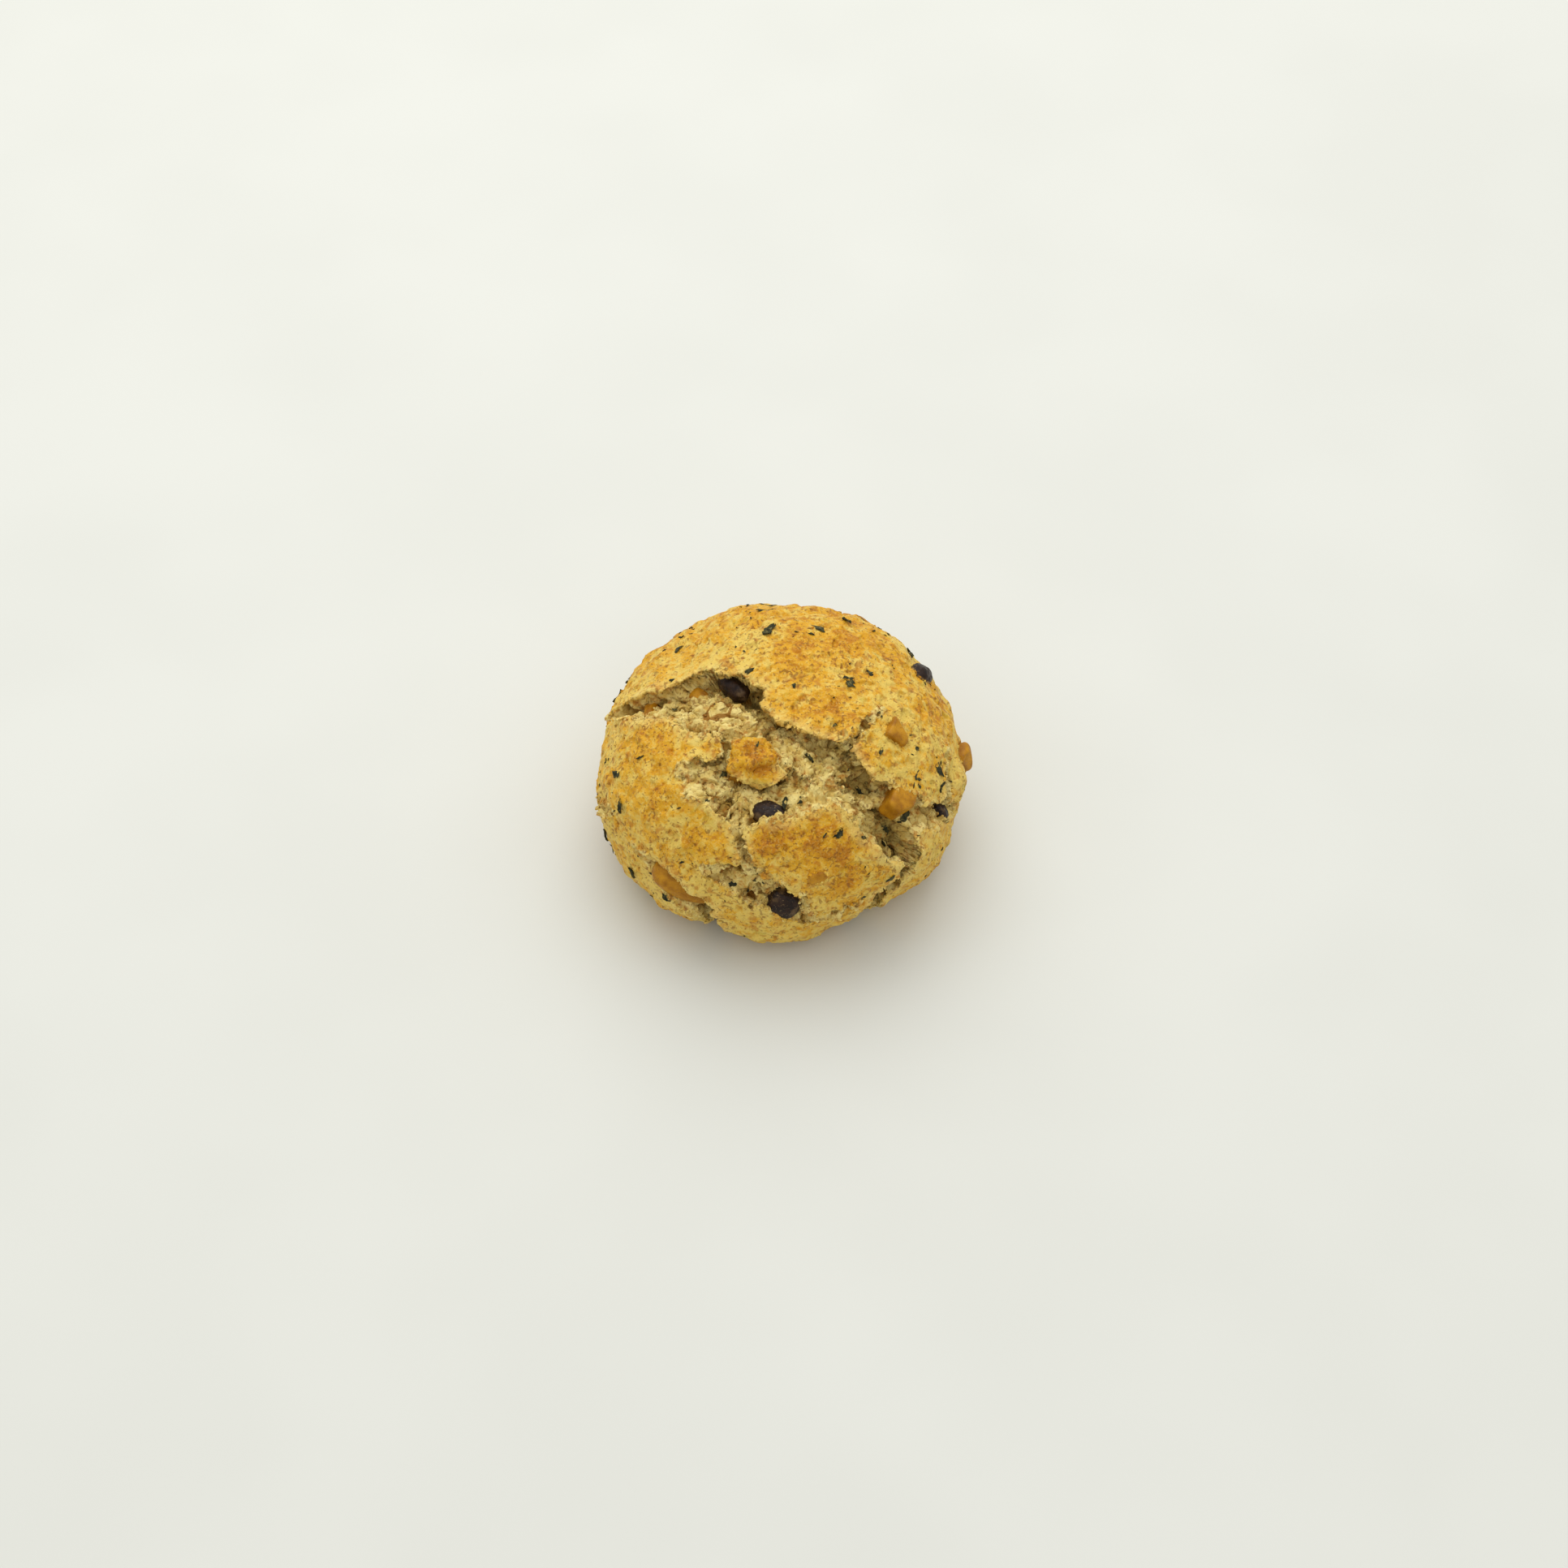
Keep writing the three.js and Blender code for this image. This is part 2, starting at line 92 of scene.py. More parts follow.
def place_camera(foot):
    """The back axis points from the foot to the camera, and the roll turns the other two about it. The
    camera stands back from the foot, and aside from it by what the foot's pixel says."""
    back = np.array([0, -np.cos(ELEVATION), np.sin(ELEVATION)])
    level = np.array([1.0, 0, 0])
    steep = np.cross(back, level)
    right = np.cos(ROLL) * level + np.sin(ROLL) * steep
    up = np.cos(ROLL) * steep - np.sin(ROLL) * level
    aside, below = (np.array(FOOT_PIXEL) - PICTURE_SIDE / 2) / FOCAL_PIXELS * DISTANCE
    data = bpy.data.cameras.new("photo_camera")
    data.sensor_width = SENSOR
    data.lens = FOCAL_PIXELS / PICTURE_SIDE * SENSOR
    data.clip_start = 0.01
    camera = bpy.data.objects.new("photo_camera", data)
    stand(camera, right, up, back, foot + back * DISTANCE - right * aside + up * below)
    bpy.context.scene.camera = camera


# %% [markdown]
# ## Noise
# Baked dough is uneven at every size. Blender's noise textures only reach the shader, and the relief here
# is real geometry, so two small noises are written out: a smooth one for swells and wrinkles, and one
# made of rounded clumps for crumb. Both take whole arrays of points.

# %% Noise
def lattice_values(x, y, z, seed):
    """A random number from 0 to 1 for each whole-number point, mixed by multiplying and shifting bits."""
    with np.errstate(over="ignore"):
        mixed = (x.astype(np.uint32) * np.uint32(374761393) + y.astype(np.uint32) * np.uint32(668265263)
                 + z.astype(np.uint32) * np.uint32(2246822519) + np.uint32(seed) * np.uint32(3266489917))
        mixed = (mixed ^ (mixed >> np.uint32(13))) * np.uint32(1274126177)
        mixed = mixed ^ (mixed >> np.uint32(16))
    return mixed.astype(np.float64) / 4294967295.0


def corners(low, high):
    """All whole steps from low to high along three axes."""
    steps = np.arange(low, high + 1)
    return np.stack(np.meshgrid(steps, steps, steps, indexing="ij"), -1).reshape(-1, 3)


def smooth_noise(points, size, seed):
    """Lattice values that lie size apart, blended with a quintic fade: from -1 to 1."""
    place = points / size + 100.0
    cell = np.floor(place).astype(np.int64)
    fade = place - cell
    fade = fade ** 3 * (fade * (fade * 6 - 15) + 10)
    total = np.zeros(len(points))
    for step in corners(0, 1):
        share = np.prod(np.where(step, fade, 1 - fade), axis=1)
        total += share * lattice_values(*(cell + step).T, seed)
    return total * 2 - 1


def clumps(points, size, seed):
    """One point is scattered in each cell. The height is 1 at a point and falls with the square of the
    distance to the nearest one, to 0 in the cracks, and each clump has a height of its own."""
    place = points / size + 100.0
    cell = np.floor(place).astype(np.int64)
    nearest = np.full(len(points), 9.0)
    tall = np.zeros(len(points))
    for step in corners(-1, 1):
        x, y, z = (cell + step).T
        scatter = np.stack([lattice_values(x, y, z, seed + axis) for axis in range(3)], -1)
        away = np.sum((place - cell - step - scatter) ** 2, axis=1)
        nearer = away < nearest
        nearest = np.where(nearer, away, nearest)
        tall = np.where(nearer, lattice_values(x, y, z, seed + 3), tall)
    return np.clip(1 - nearest, 0, 1) * (0.55 + 0.45 * tall)


def noise_sum(points, layers):
    """Sum of smooth noises, each given as its height, its size and its seed."""
    return sum(height * smooth_noise(points, size, seed) for height, size, seed in layers)


def warp(points, size, strength, seed):
    """Points moved by a smooth noise of their own along each axis, which makes round shapes ragged."""
    moves = [smooth_noise(points, size, seed + axis) for axis in range(3)]
    return points + strength * np.stack(moves, -1)


def unit(vectors):
    """The same directions, with length 1."""
    return vectors / np.linalg.norm(vectors, axis=-1, keepdims=True)


def smooth_step(value):
    """From 0 to 1 with a soft start and end."""
    t = np.clip(value, 0, 1)
    return t * t * (3 - 2 * t)


# %% [markdown]
# ## Form of the dough
# The scone is a low dome with a flat foot, torn along the top and the front. A voxel sculpt would lose the
# sharp lips, so the surface is given as a radius for each direction from the middle of the dough: a
# superellipse for the loaf, broad lumps added to it, and tears cut into it along smooth paths. Places are a
# bearing about +Z, counted from +X, and a pitch above the horizontal, in degrees. Sizes are millimetres.

# %% Sizes of the dough
HALF_WIDTH, HALF_DEPTH, HEIGHT = 34.9, 34.9, 43.6
MIDDLE = 0.38 * HEIGHT
DOME = HEIGHT - MIDDLE
BELLY = 1.18 * MIDDLE
PLAN_POWER, DOME_POWER, BELLY_POWER = 2.12, 2.25, 3
PATH_RADIUS = 31
PATH_STEPS = 6

# Wall softness and slant of the floor, then bearing, pitch, half width and depth of each station. A slant
# above 0 makes the floor deeper on the left of the path, as seen by someone who walks along it.
TEARS = [
    (1.8, 0.42, [
        (168, 10, 0.6, 1.4), (175, 23, 2.6, 3.4), (177, 32, 4.2, 4), (181, 43, 5.6, 4.4), (184, 54, 8, 4.4),
        (197, 62, 9, 4.2), (214, 67, 9, 4), (231, 67, 7, 3.8), (248, 66, 5, 3.8), (270, 63, 4.8, 3.8),
        (288, 56, 5.6, 3.8), (298, 49, 6.4, 4), (301, 43, 5.6, 4.2), (305, 38, 5.2, 4.4),
        (309.5, 32.5, 5, 4.2), (314, 28, 4.6, 3.6), (319, 24, 3.4, 3.4), (326, 17, 2.1, 3.2),
        (346, 2, 0.9, 3)
    ]),
    (1.5, 0.5, [
        (226, 40, 1.2, 1), (230, 41, 2.8, 2.4), (237, 41, 4.2, 3), (245, 40, 4.3, 3.4), (254, 38, 3.8, 3.4),
        (264, 39, 3.4, 3.2), (274, 42, 3.7, 3.4), (284, 42, 3, 3)
    ]),
    (0.9, 0, [(231, 58, 1.1, 1.2), (237, 53, 1.4, 1.7), (240, 48, 1.4, 1.7), (243, 44, 1.1, 1.2)]),
    (0.8, 0, [(308, 56, 0.5, 0.5), (320, 53, 0.6, 1.3), (333, 54, 0.6, 1.1), (344, 52, 0.5, 0.4)]),
    (0.9, 0, [
        (254, 34, 1.2, 2.4), (255, 30, 0.9, 3.2), (257, 26, 0.8, 3.2), (259, 23, 0.9, 2.8),
        (262, 17, 1.4, 2)
    ]),
    (1.6, 0, [
        (249, 14, 1.4, 1.2), (256, 13, 2.6, 1.8), (262, 11, 3.4, 2.2), (268, 8, 4.2, 2.8),
        (274, 4, 3.8, 2.8), (279, -1, 1.6, 1.6)
    ]),
    (0.9, 0, [(277, -1, 0.8, 1.4), (282, -4, 0.9, 1.5), (290, -4, 0.8, 1.2), (296, -2, 0.6, 0.5)]),
    (2.0, 0, [
        (222, 7, 0.8, 0.8), (229, 6, 1.6, 2.6), (236, 4, 2.3, 3.8), (243, 0, 2.5, 5), (248, -6, 2.7, 6.5),
        (249, -16, 2.8, 7.5), (248, -30, 2.2, 5), (248, -42, 1, 2)
    ]),
    (1.0, 0, [(194, 1, 0.8, 1.2), (200, 5, 0.9, 1.2), (208, 10, 0.7, 0.5)]),
    (1.5, 0, [
        (305, 29, 3.4, 4), (308, 23, 3.6, 6.6), (312, 17, 3.2, 7.6), (314, 11, 2.4, 7.6), (313, 5, 2.2, 7),
        (310, 0, 2.2, 6), (306, -6, 2.4, 6), (304, -14, 2.6, 6), (303, -26, 2, 5), (303, -40, 1, 2)
    ]),
    (0.9, 0, [(352, 22, 0.6, 0.8), (345, 17, 0.8, 1.4), (341, 11, 1.2, 3), (336, 12, 1.6, 4)]),
    (1.2, 0, [
        (50, 16, 0.7, 0.6), (60, 12, 1.3, 2), (72, 9, 1.6, 2.6), (84, 12, 1.2, 1.8), (94, 9, 0.7, 0.6)
    ]),
    (1.5, 0, [(126, 10, 0.8, 0.8), (124, 2, 1.3, 2.2), (119, -10, 1.6, 3), (118, -26, 1.2, 2)]),
]

# Deeper hollows in the floors of the tears: wall softness, then stations as above
HOLLOWS = [
    (1.1, [(186, 62, 1.2, 1.2), (184, 69, 2.2, 3), (196, 74, 2.4, 3.2), (221, 76, 1.4, 1.6)]),
    (1.2, [(180, 38, 1, 1), (184, 47, 1.4, 1.8), (186, 55, 1, 1)]),
    (1.2, [(296, 60, 1.2, 1), (298, 52, 1.8, 2), (305, 45, 1.4, 1.4)]),
    (1.2, [(304, 38, 1.6, 2), (310, 36, 2.4, 3.2), (314, 33, 1.8, 2.6)]),
    (1.2, [(240, 43, 1.2, 1), (252, 44, 1.6, 2), (262, 45, 1.3, 1.6)]),
    (0.8, [(110, 54, 0.4, 0.3), (100, 51, 0.7, 0.7), (88, 46, 0.8, 0.9), (76, 43, 0.7, 0.7),
           (68, 36, 0.4, 0.3)]),
]

# A knob of crust left standing inside the tear: its stations end in a lift instead of a depth
KNOBS = [(1.0, [(249, 54, 2.7, 1.2), (254, 55, 3.4, 2), (259, 55, 2.4, 1.6)])]

# Bearing, pitch, spread in degrees and height of the broad lumps and dents
LUMPS = [
    (105, 62, 30, 0.5), (328, 60, 20, 1.4), (218, 28, 24, 0.8), (287, 20, 20, 1), (310, 18, 9, 1.6),
    (238, -6, 12, 1), (323, 4, 12, 1.2), (352, 7, 6, 1.6), (203, 2, 16, 0.6), (148, 40, 24, -3.2),
    (20, 6, 14, 0.6), (128, -4, 18, 0.8), (70, -6, 16, 0.8), (265, 74, 22, -0.8), (305, -18, 15, -3),
    (246, -18, 7, -1.4), (271, -20, 12, 0.6),
]

# Height, size and seed of the noises: on the edges of the tears, where the solid has the first alone, and
# the swells of the whole form
EDGE_WAVERS = [(0.9, 2.6, 1), (0.45, 1.3, 2), (0.12, 0.7, 3)]
SWELLS = [(0.6, 9, 11), (0.35, 4, 12)]
CLUMP_HEIGHT, CLUMP_SIZE, CLUMP_SEED = 1.6, 3.6, 21

# How far a lip stands up, and how far it hangs over the tear on the left and the right of the path
LIP_RISE = 0.35
LEFT_PUSH, RIGHT_PUSH = 2.25, 0.75


# %% Surface of the dough
def heading(bearing, pitch):
    """Unit vector for a bearing and a pitch in degrees."""
    turn, rise = np.radians(bearing), np.radians(pitch)
    return np.stack([np.cos(rise) * np.cos(turn), np.cos(rise) * np.sin(turn), np.sin(rise)], -1)


def smooth_path(stations):
    """Catmull-Rom curve through the stations on a sphere: rows of x, y, z, half width and depth."""
    table = np.array(stations, float)
    rows = np.hstack([heading(table[:, 0], table[:, 1]) * PATH_RADIUS, table[:, 2:]])
    padded = np.vstack([2 * rows[0] - rows[1], rows, 2 * rows[-1] - rows[-2]])
    t = (np.arange(PATH_STEPS) / PATH_STEPS)[:, None, None]
    a, b, c, d = padded[:-3], padded[1:-2], padded[2:-1], padded[3:]
    square, cube = 2 * a - 5 * b + 4 * c - d, 3 * b - a - 3 * c + d
    curve = 0.5 * (2 * b + (c - a) * t + square * t ** 2 + cube * t ** 3)
    return np.vstack([curve.transpose(1, 0, 2).reshape(-1, 5), rows[-1:]])


def nearest_on_path(points, path, margin=4):
    """Distance to the path, its half width and depth at the nearest place, the way towards it, and the
    side of it: above 0 on the left of the path, and 1 at its edge. Points far away are left out."""
    reach = path[:, 3].max() + margin
    inside = (points > path[:, :3].min(axis=0) - reach) & (points < path[:, :3].max(axis=0) + reach)
    close = np.all(inside, axis=1)
    near = points[close]
    least = np.full(len(near), 1e9)
    found = np.ones((len(near), 2))
    way = np.zeros((len(near), 3))
    across = np.zeros(len(near))
    for start, end in zip(path[:-1], path[1:]):
        line = end[:3] - start[:3]
        t = np.clip((near - start[:3]) @ line / (line @ line), 0, 1)[:, None]
        step = start[:3] + t * line - near
        away = np.linalg.norm(step, axis=1)
        nearer = away < least
        least[nearer] = away[nearer]
        found[nearer] = (start[3:] + t * (end[3:] - start[3:]))[nearer]
        way[nearer] = step[nearer]
        left = unit(np.cross(near[nearer], line))
        across[nearer] = -np.sum(step[nearer] * left, axis=1)
    distance, width, depth = np.full(len(points), 1e9), np.ones(len(points)), np.zeros(len(points))
    towards, side = np.zeros((len(points), 3)), np.zeros(len(points))
    distance[close], width[close], depth[close] = least, found[:, 0], found[:, 1]
    towards[close], side[close] = way, across / found[:, 0]
    return distance, width, depth, towards, side


def plain_radius(direction):
    """Superellipse in plan, with a dome above the middle and a shorter belly below it."""
    x, y, z = np.abs(direction).T
    plan = ((x / HALF_WIDTH) ** PLAN_POWER + (y / HALF_DEPTH) ** PLAN_POWER) ** (1 / PLAN_POWER)
    above = direction[:, 2] > 0
    upright = np.where(above, DOME, BELLY)
    power = np.where(above, DOME_POWER, BELLY_POWER)
    return (plan ** power + (z / upright) ** power) ** (-1 / power)


tear_paths = [(wall, slant, smooth_path(stations)) for wall, slant, stations in TEARS]
hollow_paths = [(wall, smooth_path(stations)) for wall, stations in HOLLOWS]
knob_paths = [(wall, smooth_path(stations)) for wall, stations in KNOBS]


def crust_relief(spot):
    """Fine wrinkles, small round lumps and pits of the baked skin, in millimetres."""
    wrinkles = noise_sum(spot, [(0.2, 1.9, 13), (0.13, 0.95, 14)])
    lumps = 0.4 * smooth_step((clumps(warp(spot, 2, 0.6, 15), 3.2, 61) - 0.45) / 0.4)
    grains = 0.11 * smooth_step((clumps(spot, 1.1, 65) - 0.4) / 0.4)
    pits = 0.45 * smooth_step((smooth_noise(spot, 1.5, 62) - 0.5) / 0.2)
    return wrinkles + lumps + grains - pits


def crumb_relief(spot):
    """Ragged ledges, shreds and pores of the torn crumb, in millimetres."""
    ragged = warp(spot, 1.6, 0.8, 32)
    ledges = 1.3 * smooth_step((clumps(ragged, 2.8, 31) - 0.2) / 0.5) - 0.65
    bits = 0.55 * (clumps(warp(spot, 0.8, 0.6, 45), 1.3, 46) - 0.4)
    shreds = 0.35 * (0.4 - np.abs(smooth_noise(warp(spot, 1.2, 0.8, 47), 1.0, 36)))
    pores = 1.3 * smooth_step((smooth_noise(ragged, 2.3, 42) - 0.3) / 0.25)
    return ledges + bits + shreds - pores + 0.3 * smooth_noise(spot, 0.6, 43)


def dough_form(direction, fine=True):
    """Radius = loaf + lumps - tears + lips + relief. Where it is torn the relief is clumps of crumb, and
    elsewhere shallow wrinkles. Gives the points, and masks: how torn, how near a lip, how deep, and how
    far the fine relief stands out."""
    spot = direction * PATH_RADIUS
    waver = noise_sum(spot, EDGE_WAVERS if fine else EDGE_WAVERS[:1])
    depth, torn, lip = np.zeros(len(spot)), np.zeros(len(spot)), np.zeros(len(spot))
    push = np.zeros((len(spot), 3))
    for wall, slant, path in tear_paths:
        distance, width, deep, towards, side = nearest_on_path(spot, path)
        edge = distance + waver * np.minimum(1, width / 2.5)
        floor_depth = deep * (1 + slant * np.clip(side, -1, 1))
        depth = np.maximum(depth, floor_depth * smooth_step((width - edge) / wall + 0.35))
        torn = np.maximum(torn, smooth_step((width - edge) / 0.7 + 0.9))
        this_lip = np.minimum(deep / 4, 1) * np.exp(-((edge - width - 0.7) / 1.3) ** 2)
        lip = np.maximum(lip, this_lip)
        over = np.where(side > 0, LEFT_PUSH, RIGHT_PUSH) * this_lip * np.minimum(1, width / 4)
        push += towards / np.maximum(distance, 0.5)[:, None] * over[:, None]
    for wall, path in hollow_paths:
        distance, width, deep, _, _ = nearest_on_path(spot, path)
        depth += deep * smooth_step((width - distance - waver * 0.8) / wall + 0.3)
    for wall, path in knob_paths:
        distance, width, lift, _, _ = nearest_on_path(spot, path)
        share = smooth_step((width - distance - waver) / wall + 0.3)
        depth = depth * (1 - share) - lift * share
        torn = torn * (1 - share)
        lip = lip * (1 - share)
    radius = plain_radius(direction) - depth + LIP_RISE * lip
    for bearing, pitch, spread, height in LUMPS:
        angle = np.arccos(np.clip(direction @ heading(bearing, pitch), -1, 1))
        radius += height * np.exp(-(angle / np.radians(spread)) ** 2)
    radius += noise_sum(spot, SWELLS)
    radius += torn * CLUMP_HEIGHT * (clumps(spot, CLUMP_SIZE, CLUMP_SEED) - 0.45)
    points = direction * radius[:, None] + np.array([0, 0, MIDDLE])
    relief = np.zeros(len(spot))
    if fine:
        relief = crust_relief(spot) * (1 - torn) + crumb_relief(points) * torn
        points += direction * relief[:, None] + push * (1 - torn)[:, None]
    return points, {"torn": torn, "lip": lip, "deep": depth, "relief": relief}


# %% [markdown]
# ## Mesh of the dough
# A ball of longitude and latitude pinches at its poles, right where the tear runs. A square grid that is
# bent into a disc and then wrapped over the dome has no pole on top. It is leaned towards the torn side, so
# that the finest part lies there. One mesh this fine would be very heavy, so the grid is shared among
# four closed blocks with the same points and normals along their seams, like a cake cut in four.

# %% Mesh of the dough
# Points along a side of the grid, the angle in degrees from the top to its edge, how far its middle is
# leaned, and the rings that close a block
GRID = 521
REACH = 127
LEAN = 0.22
CLOSING_RINGS = 8


def square_to_direction(side):
    """A square becomes a disc, ring by ring, then the disc's radius becomes the angle from the top."""
    t = np.linspace(-1, 1, side)
    a, b = np.meshgrid(t, t, indexing="ij")
    flat = np.abs(a) > np.abs(b)
    reach = np.where(flat, a, b)
    small = np.where(flat, b, a) / np.where(reach == 0, 1, reach)
    angle = np.where(flat, np.pi / 4 * small, np.pi / 2 - np.pi / 4 * small)
    x = reach * np.cos(angle)
    y = reach * np.sin(angle) - LEAN * (1 - reach ** 2)
    radius = np.hypot(x, y).ravel()
    return heading(np.degrees(np.arctan2(y, x)).ravel(), 90 - REACH * radius)


def settle(points, softness=0.9):
    """Flattens what would lie under the floor, with a small round edge."""
    z = points[:, 2]
    curved = (z + softness) ** 2 / (4 * softness)
    points[:, 2] = np.where(z > softness, z, np.where(z < -softness, 0, curved))
    return points


def box_of(points):
    """Lowest and highest corner of the box round the points."""
    return points.min(axis=0), points.max(axis=0)


def grid_normals(points):
    """The cross product of the steps along the two ways of the grid, at each of its points."""
    grid = points.reshape(GRID, GRID, 3)
    normals = np.cross(np.gradient(grid, axis=0), np.gradient(grid, axis=1)).reshape(-1, 3)
    normals /= np.maximum(np.linalg.norm(normals, axis=1), 1e-9)[:, None]
    outward = np.sum(normals * (points - np.array([0, 0, MIDDLE])), axis=1)
    return normals * np.sign(np.median(outward))


# On the steep walls of the tears the fine relief has to stand out along the wall's own normal
spots = square_to_direction(GRID) * PATH_RADIUS
dough_points, dough_masks = dough_form(spots / PATH_RADIUS)
raised = dough_masks["relief"][:, None]
bare = dough_points - raised * spots / PATH_RADIUS
dough_points = settle(bare + raised * grid_normals(bare))
cad_low, cad_high = (np.array(corner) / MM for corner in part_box("dough"))
fine_low, fine_high = box_of(dough_points)
SCALE = (cad_high - cad_low) / (fine_high - fine_low)
SHIFT = cad_low - fine_low * SCALE
LIMITS = [np.array(corner) / MM for corner in cad_box]
print("fine dough", fine_high - fine_low, "scale", SCALE, "shift", SHIFT)
place_camera(SHIFT * np.array([1, 1, 0]) * MM)


def seat(points):
    """From the form's own millimetres to the frame: the fine dough fills the box of the solid."""
    return np.clip(points * SCALE + SHIFT, *LIMITS)


def new_piece(name, points, faces, masks=None, normals=None, smooth=True):
    """Mesh object in the frame, from points in millimetres, with one number a point for each mask."""
    mesh = bpy.data.meshes.new(name)
    mesh.from_pydata((seat(points) * MM).tolist(), [], faces)
    for label, values in (masks or {}).items():
        layer = mesh.attributes.new(label, "FLOAT", "POINT")
        layer.data.foreach_set("value", np.asarray(values, np.float32))
    mesh.polygons.foreach_set("use_smooth", [smooth] * len(mesh.polygons))
    mesh.validate()
    mesh.update()
    if normals is not None:
        mesh.normals_split_custom_set_from_vertices(normals.tolist())
    piece = bpy.data.objects.new(name, mesh)
    bpy.context.scene.collection.objects.link(piece)
    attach(piece, "root")
    return piece


def block_mesh(rows, columns):
    """One part of the grid, with rings that close it: on the foot flat to its middle, and in the cut
    toward the middle of the dough, so that no wall of a cut shows under a lip."""
    index = np.arange(GRID * GRID).reshape(GRID, GRID)[rows, columns]
    picked = index.ravel()
    own = np.arange(index.size).reshape(index.shape)
    quads = [np.stack([own[:-1, :-1], own[1:, :-1], own[1:, 1:], own[:-1, 1:]], -1).reshape(-1, 4)]
    rim = np.concatenate([own[:-1, 0], own[-1, :-1], own[:0:-1, -1], own[0, :0:-1]])
    count = len(rim)
    shrink = 1 - np.arange(1, CLOSING_RINGS) / CLOSING_RINGS
    at_foot = np.isin(np.divmod(picked[rim], GRID), (0, GRID - 1)).any(axis=0)
    target = np.stack([np.zeros(count), np.zeros(count), np.where(at_foot, 0, MIDDLE)], -1)
    start = dough_points[picked[rim]] * np.stack([np.ones(count), np.ones(count), ~at_foot], -1)
    rings = (target + (start - target) * shrink[:, None, None]).reshape(-1, 3)
    points = np.vstack([dough_points[picked], rings, np.zeros((1, 3))])
    loops = [rim] + [len(picked) + k * count + np.arange(count) for k in range(CLOSING_RINGS - 1)]
    for outer, inner in zip(loops[:-1], loops[1:]):
        quads.append(np.stack([outer, inner, np.roll(inner, -1), np.roll(outer, -1)], -1))
    last = loops[-1]
    fan = np.stack([last, np.full(count, len(points) - 1), np.roll(last, -1)], -1)
    source = np.concatenate([picked, np.tile(picked[rim], CLOSING_RINGS - 1), picked[rim[:1]]])
    normals = np.vstack([surface_normals[picked], np.tile([0, 0, -1.0], (len(points) - len(picked), 1))])
    return points, np.vstack(quads).tolist() + fan.tolist(), source, normals


surface_normals = grid_normals(dough_points)

# %% [markdown]
# ## Browning
# Dough browns where it stands proud and faces the heat, and stays pale in dents and near the foot. An even
# noise would look like paint, so browned and pale patches are listed one by one, and a noise only breaks
# their edges.
# One patch low on the front is painted shade rather than browning: it darkens the side that the lamp leaves
# in shade.

# %% Browning
# Bearing, pitch, spread in degrees and strength of each patch. The patch at bearing 290, pitch 11 is painted
# shade: it darkens the lower front, which the lamp leaves in shade.
BROWNED_AND_SHADED = [
    (105, 56, 12, -0.2), (48, 69, 18, 0.6), (321, 67, 14, 0.6), (216, 29, 15, 0.45), (199, 39, 10, 0.45),
    (350, 44, 10, -0.3), (254, 56, 12, 1.0), (290, 11, 16, 0.5), (286, 31, 12, 0.75), (266, 28, 8, 0.45),
    (310, 49, 8, 0.4), (2, 30, 9, 0.35), (40, 50, 13, 0.35), (100, 42, 18, 0.35), (70, 34, 16, 0.4),
    (135, 26, 16, 0.35), (10, 20, 10, 0.3), (170, 50, 10, 0.3), (60, 5, 16, 0.25), (147, 48, 14, -0.45),
    (212, 13, 10, -0.2), (237, 12, 8, -0.2), (275, -8, 14, -0.2), (90, 10, 16, -0.25), (20, 60, 12, -0.2),
]

# The foot browns where it lay in the oven, up to an edge in millimetres
FOOT_BROWN, FOOT_EDGE = 0.55, 1.2


def browning_and_shade(points):
    """A share from 0 to 1 and a little over: more on top, the named patches, one of them painted shade on
    the lower front, two noises, and the foot.
    """
    direction = unit(points - np.array([0, 0, MIDDLE]))
    brown = 0.15 + 0.15 * smooth_step((points[:, 2] - 8) / 30)
    for bearing, pitch, spread, strength in BROWNED_AND_SHADED:
        angle = np.arccos(np.clip(direction @ heading(bearing, pitch), -1, 1))
        brown += strength * np.exp(-(angle / np.radians(spread)) ** 2)
    brown += noise_sum(points, [(0.2, 6, 71), (0.16, 2.4, 72)])
    return brown + FOOT_BROWN * smooth_step((FOOT_EDGE - points[:, 2]) / FOOT_EDGE)


# The brown mask also carries the painted shade of the lower front.
dough_masks["brown"] = browning_and_shade(dough_points)

# A brown ring that a dissolved morsel left in the crumb: bearing, pitch and radius in millimetres
STAIN = (201, 60, 3.0)


def stain_ring(spot):
    """A band round the middle of the stain, broken by noise."""
    bearing, pitch, radius = STAIN
    away = np.linalg.norm(spot - heading(bearing, pitch) * PATH_RADIUS, axis=1)
    away += 0.7 * smooth_noise(spot, 1.8, 81)
    strength = smooth_step((smooth_noise(spot, 2.6, 82) + 0.8) / 0.5)
    return np.exp(-((away - radius) / 0.8) ** 2) * strength


dough_masks["stain"] = stain_ring(spots)

half = GRID // 2
BLOCKS = {
    "dough_front_left": (slice(0, half + 1), slice(0, half + 1)),
    "dough_front_right": (slice(half, GRID), slice(0, half + 1)),
    "dough_back_left": (slice(0, half + 1), slice(half, GRID)),
    "dough_back_right": (slice(half, GRID), slice(half, GRID)),
}
dough = []
for name, (rows, columns) in BLOCKS.items():
    points, faces, source, normals = block_mesh(rows, columns)
    masks = {label: values[source] for label, values in dough_masks.items()}
    block = new_piece(name, points, faces, masks, normals)
    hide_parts("dough")
    dough.append(block)
    print(name, len(points), "points", len(block.data.polygons), "faces")

# %% [markdown]
# ## Chips and nuts
# The chocolate chips are rounded drops and the nuts are chopped pieces with flat cuts. Each one is a
# superellipsoid, between a ball and a box, sunk in the dough and turned as it lies there. The nuts are
# cut by random planes, which a subdivided box would not give.

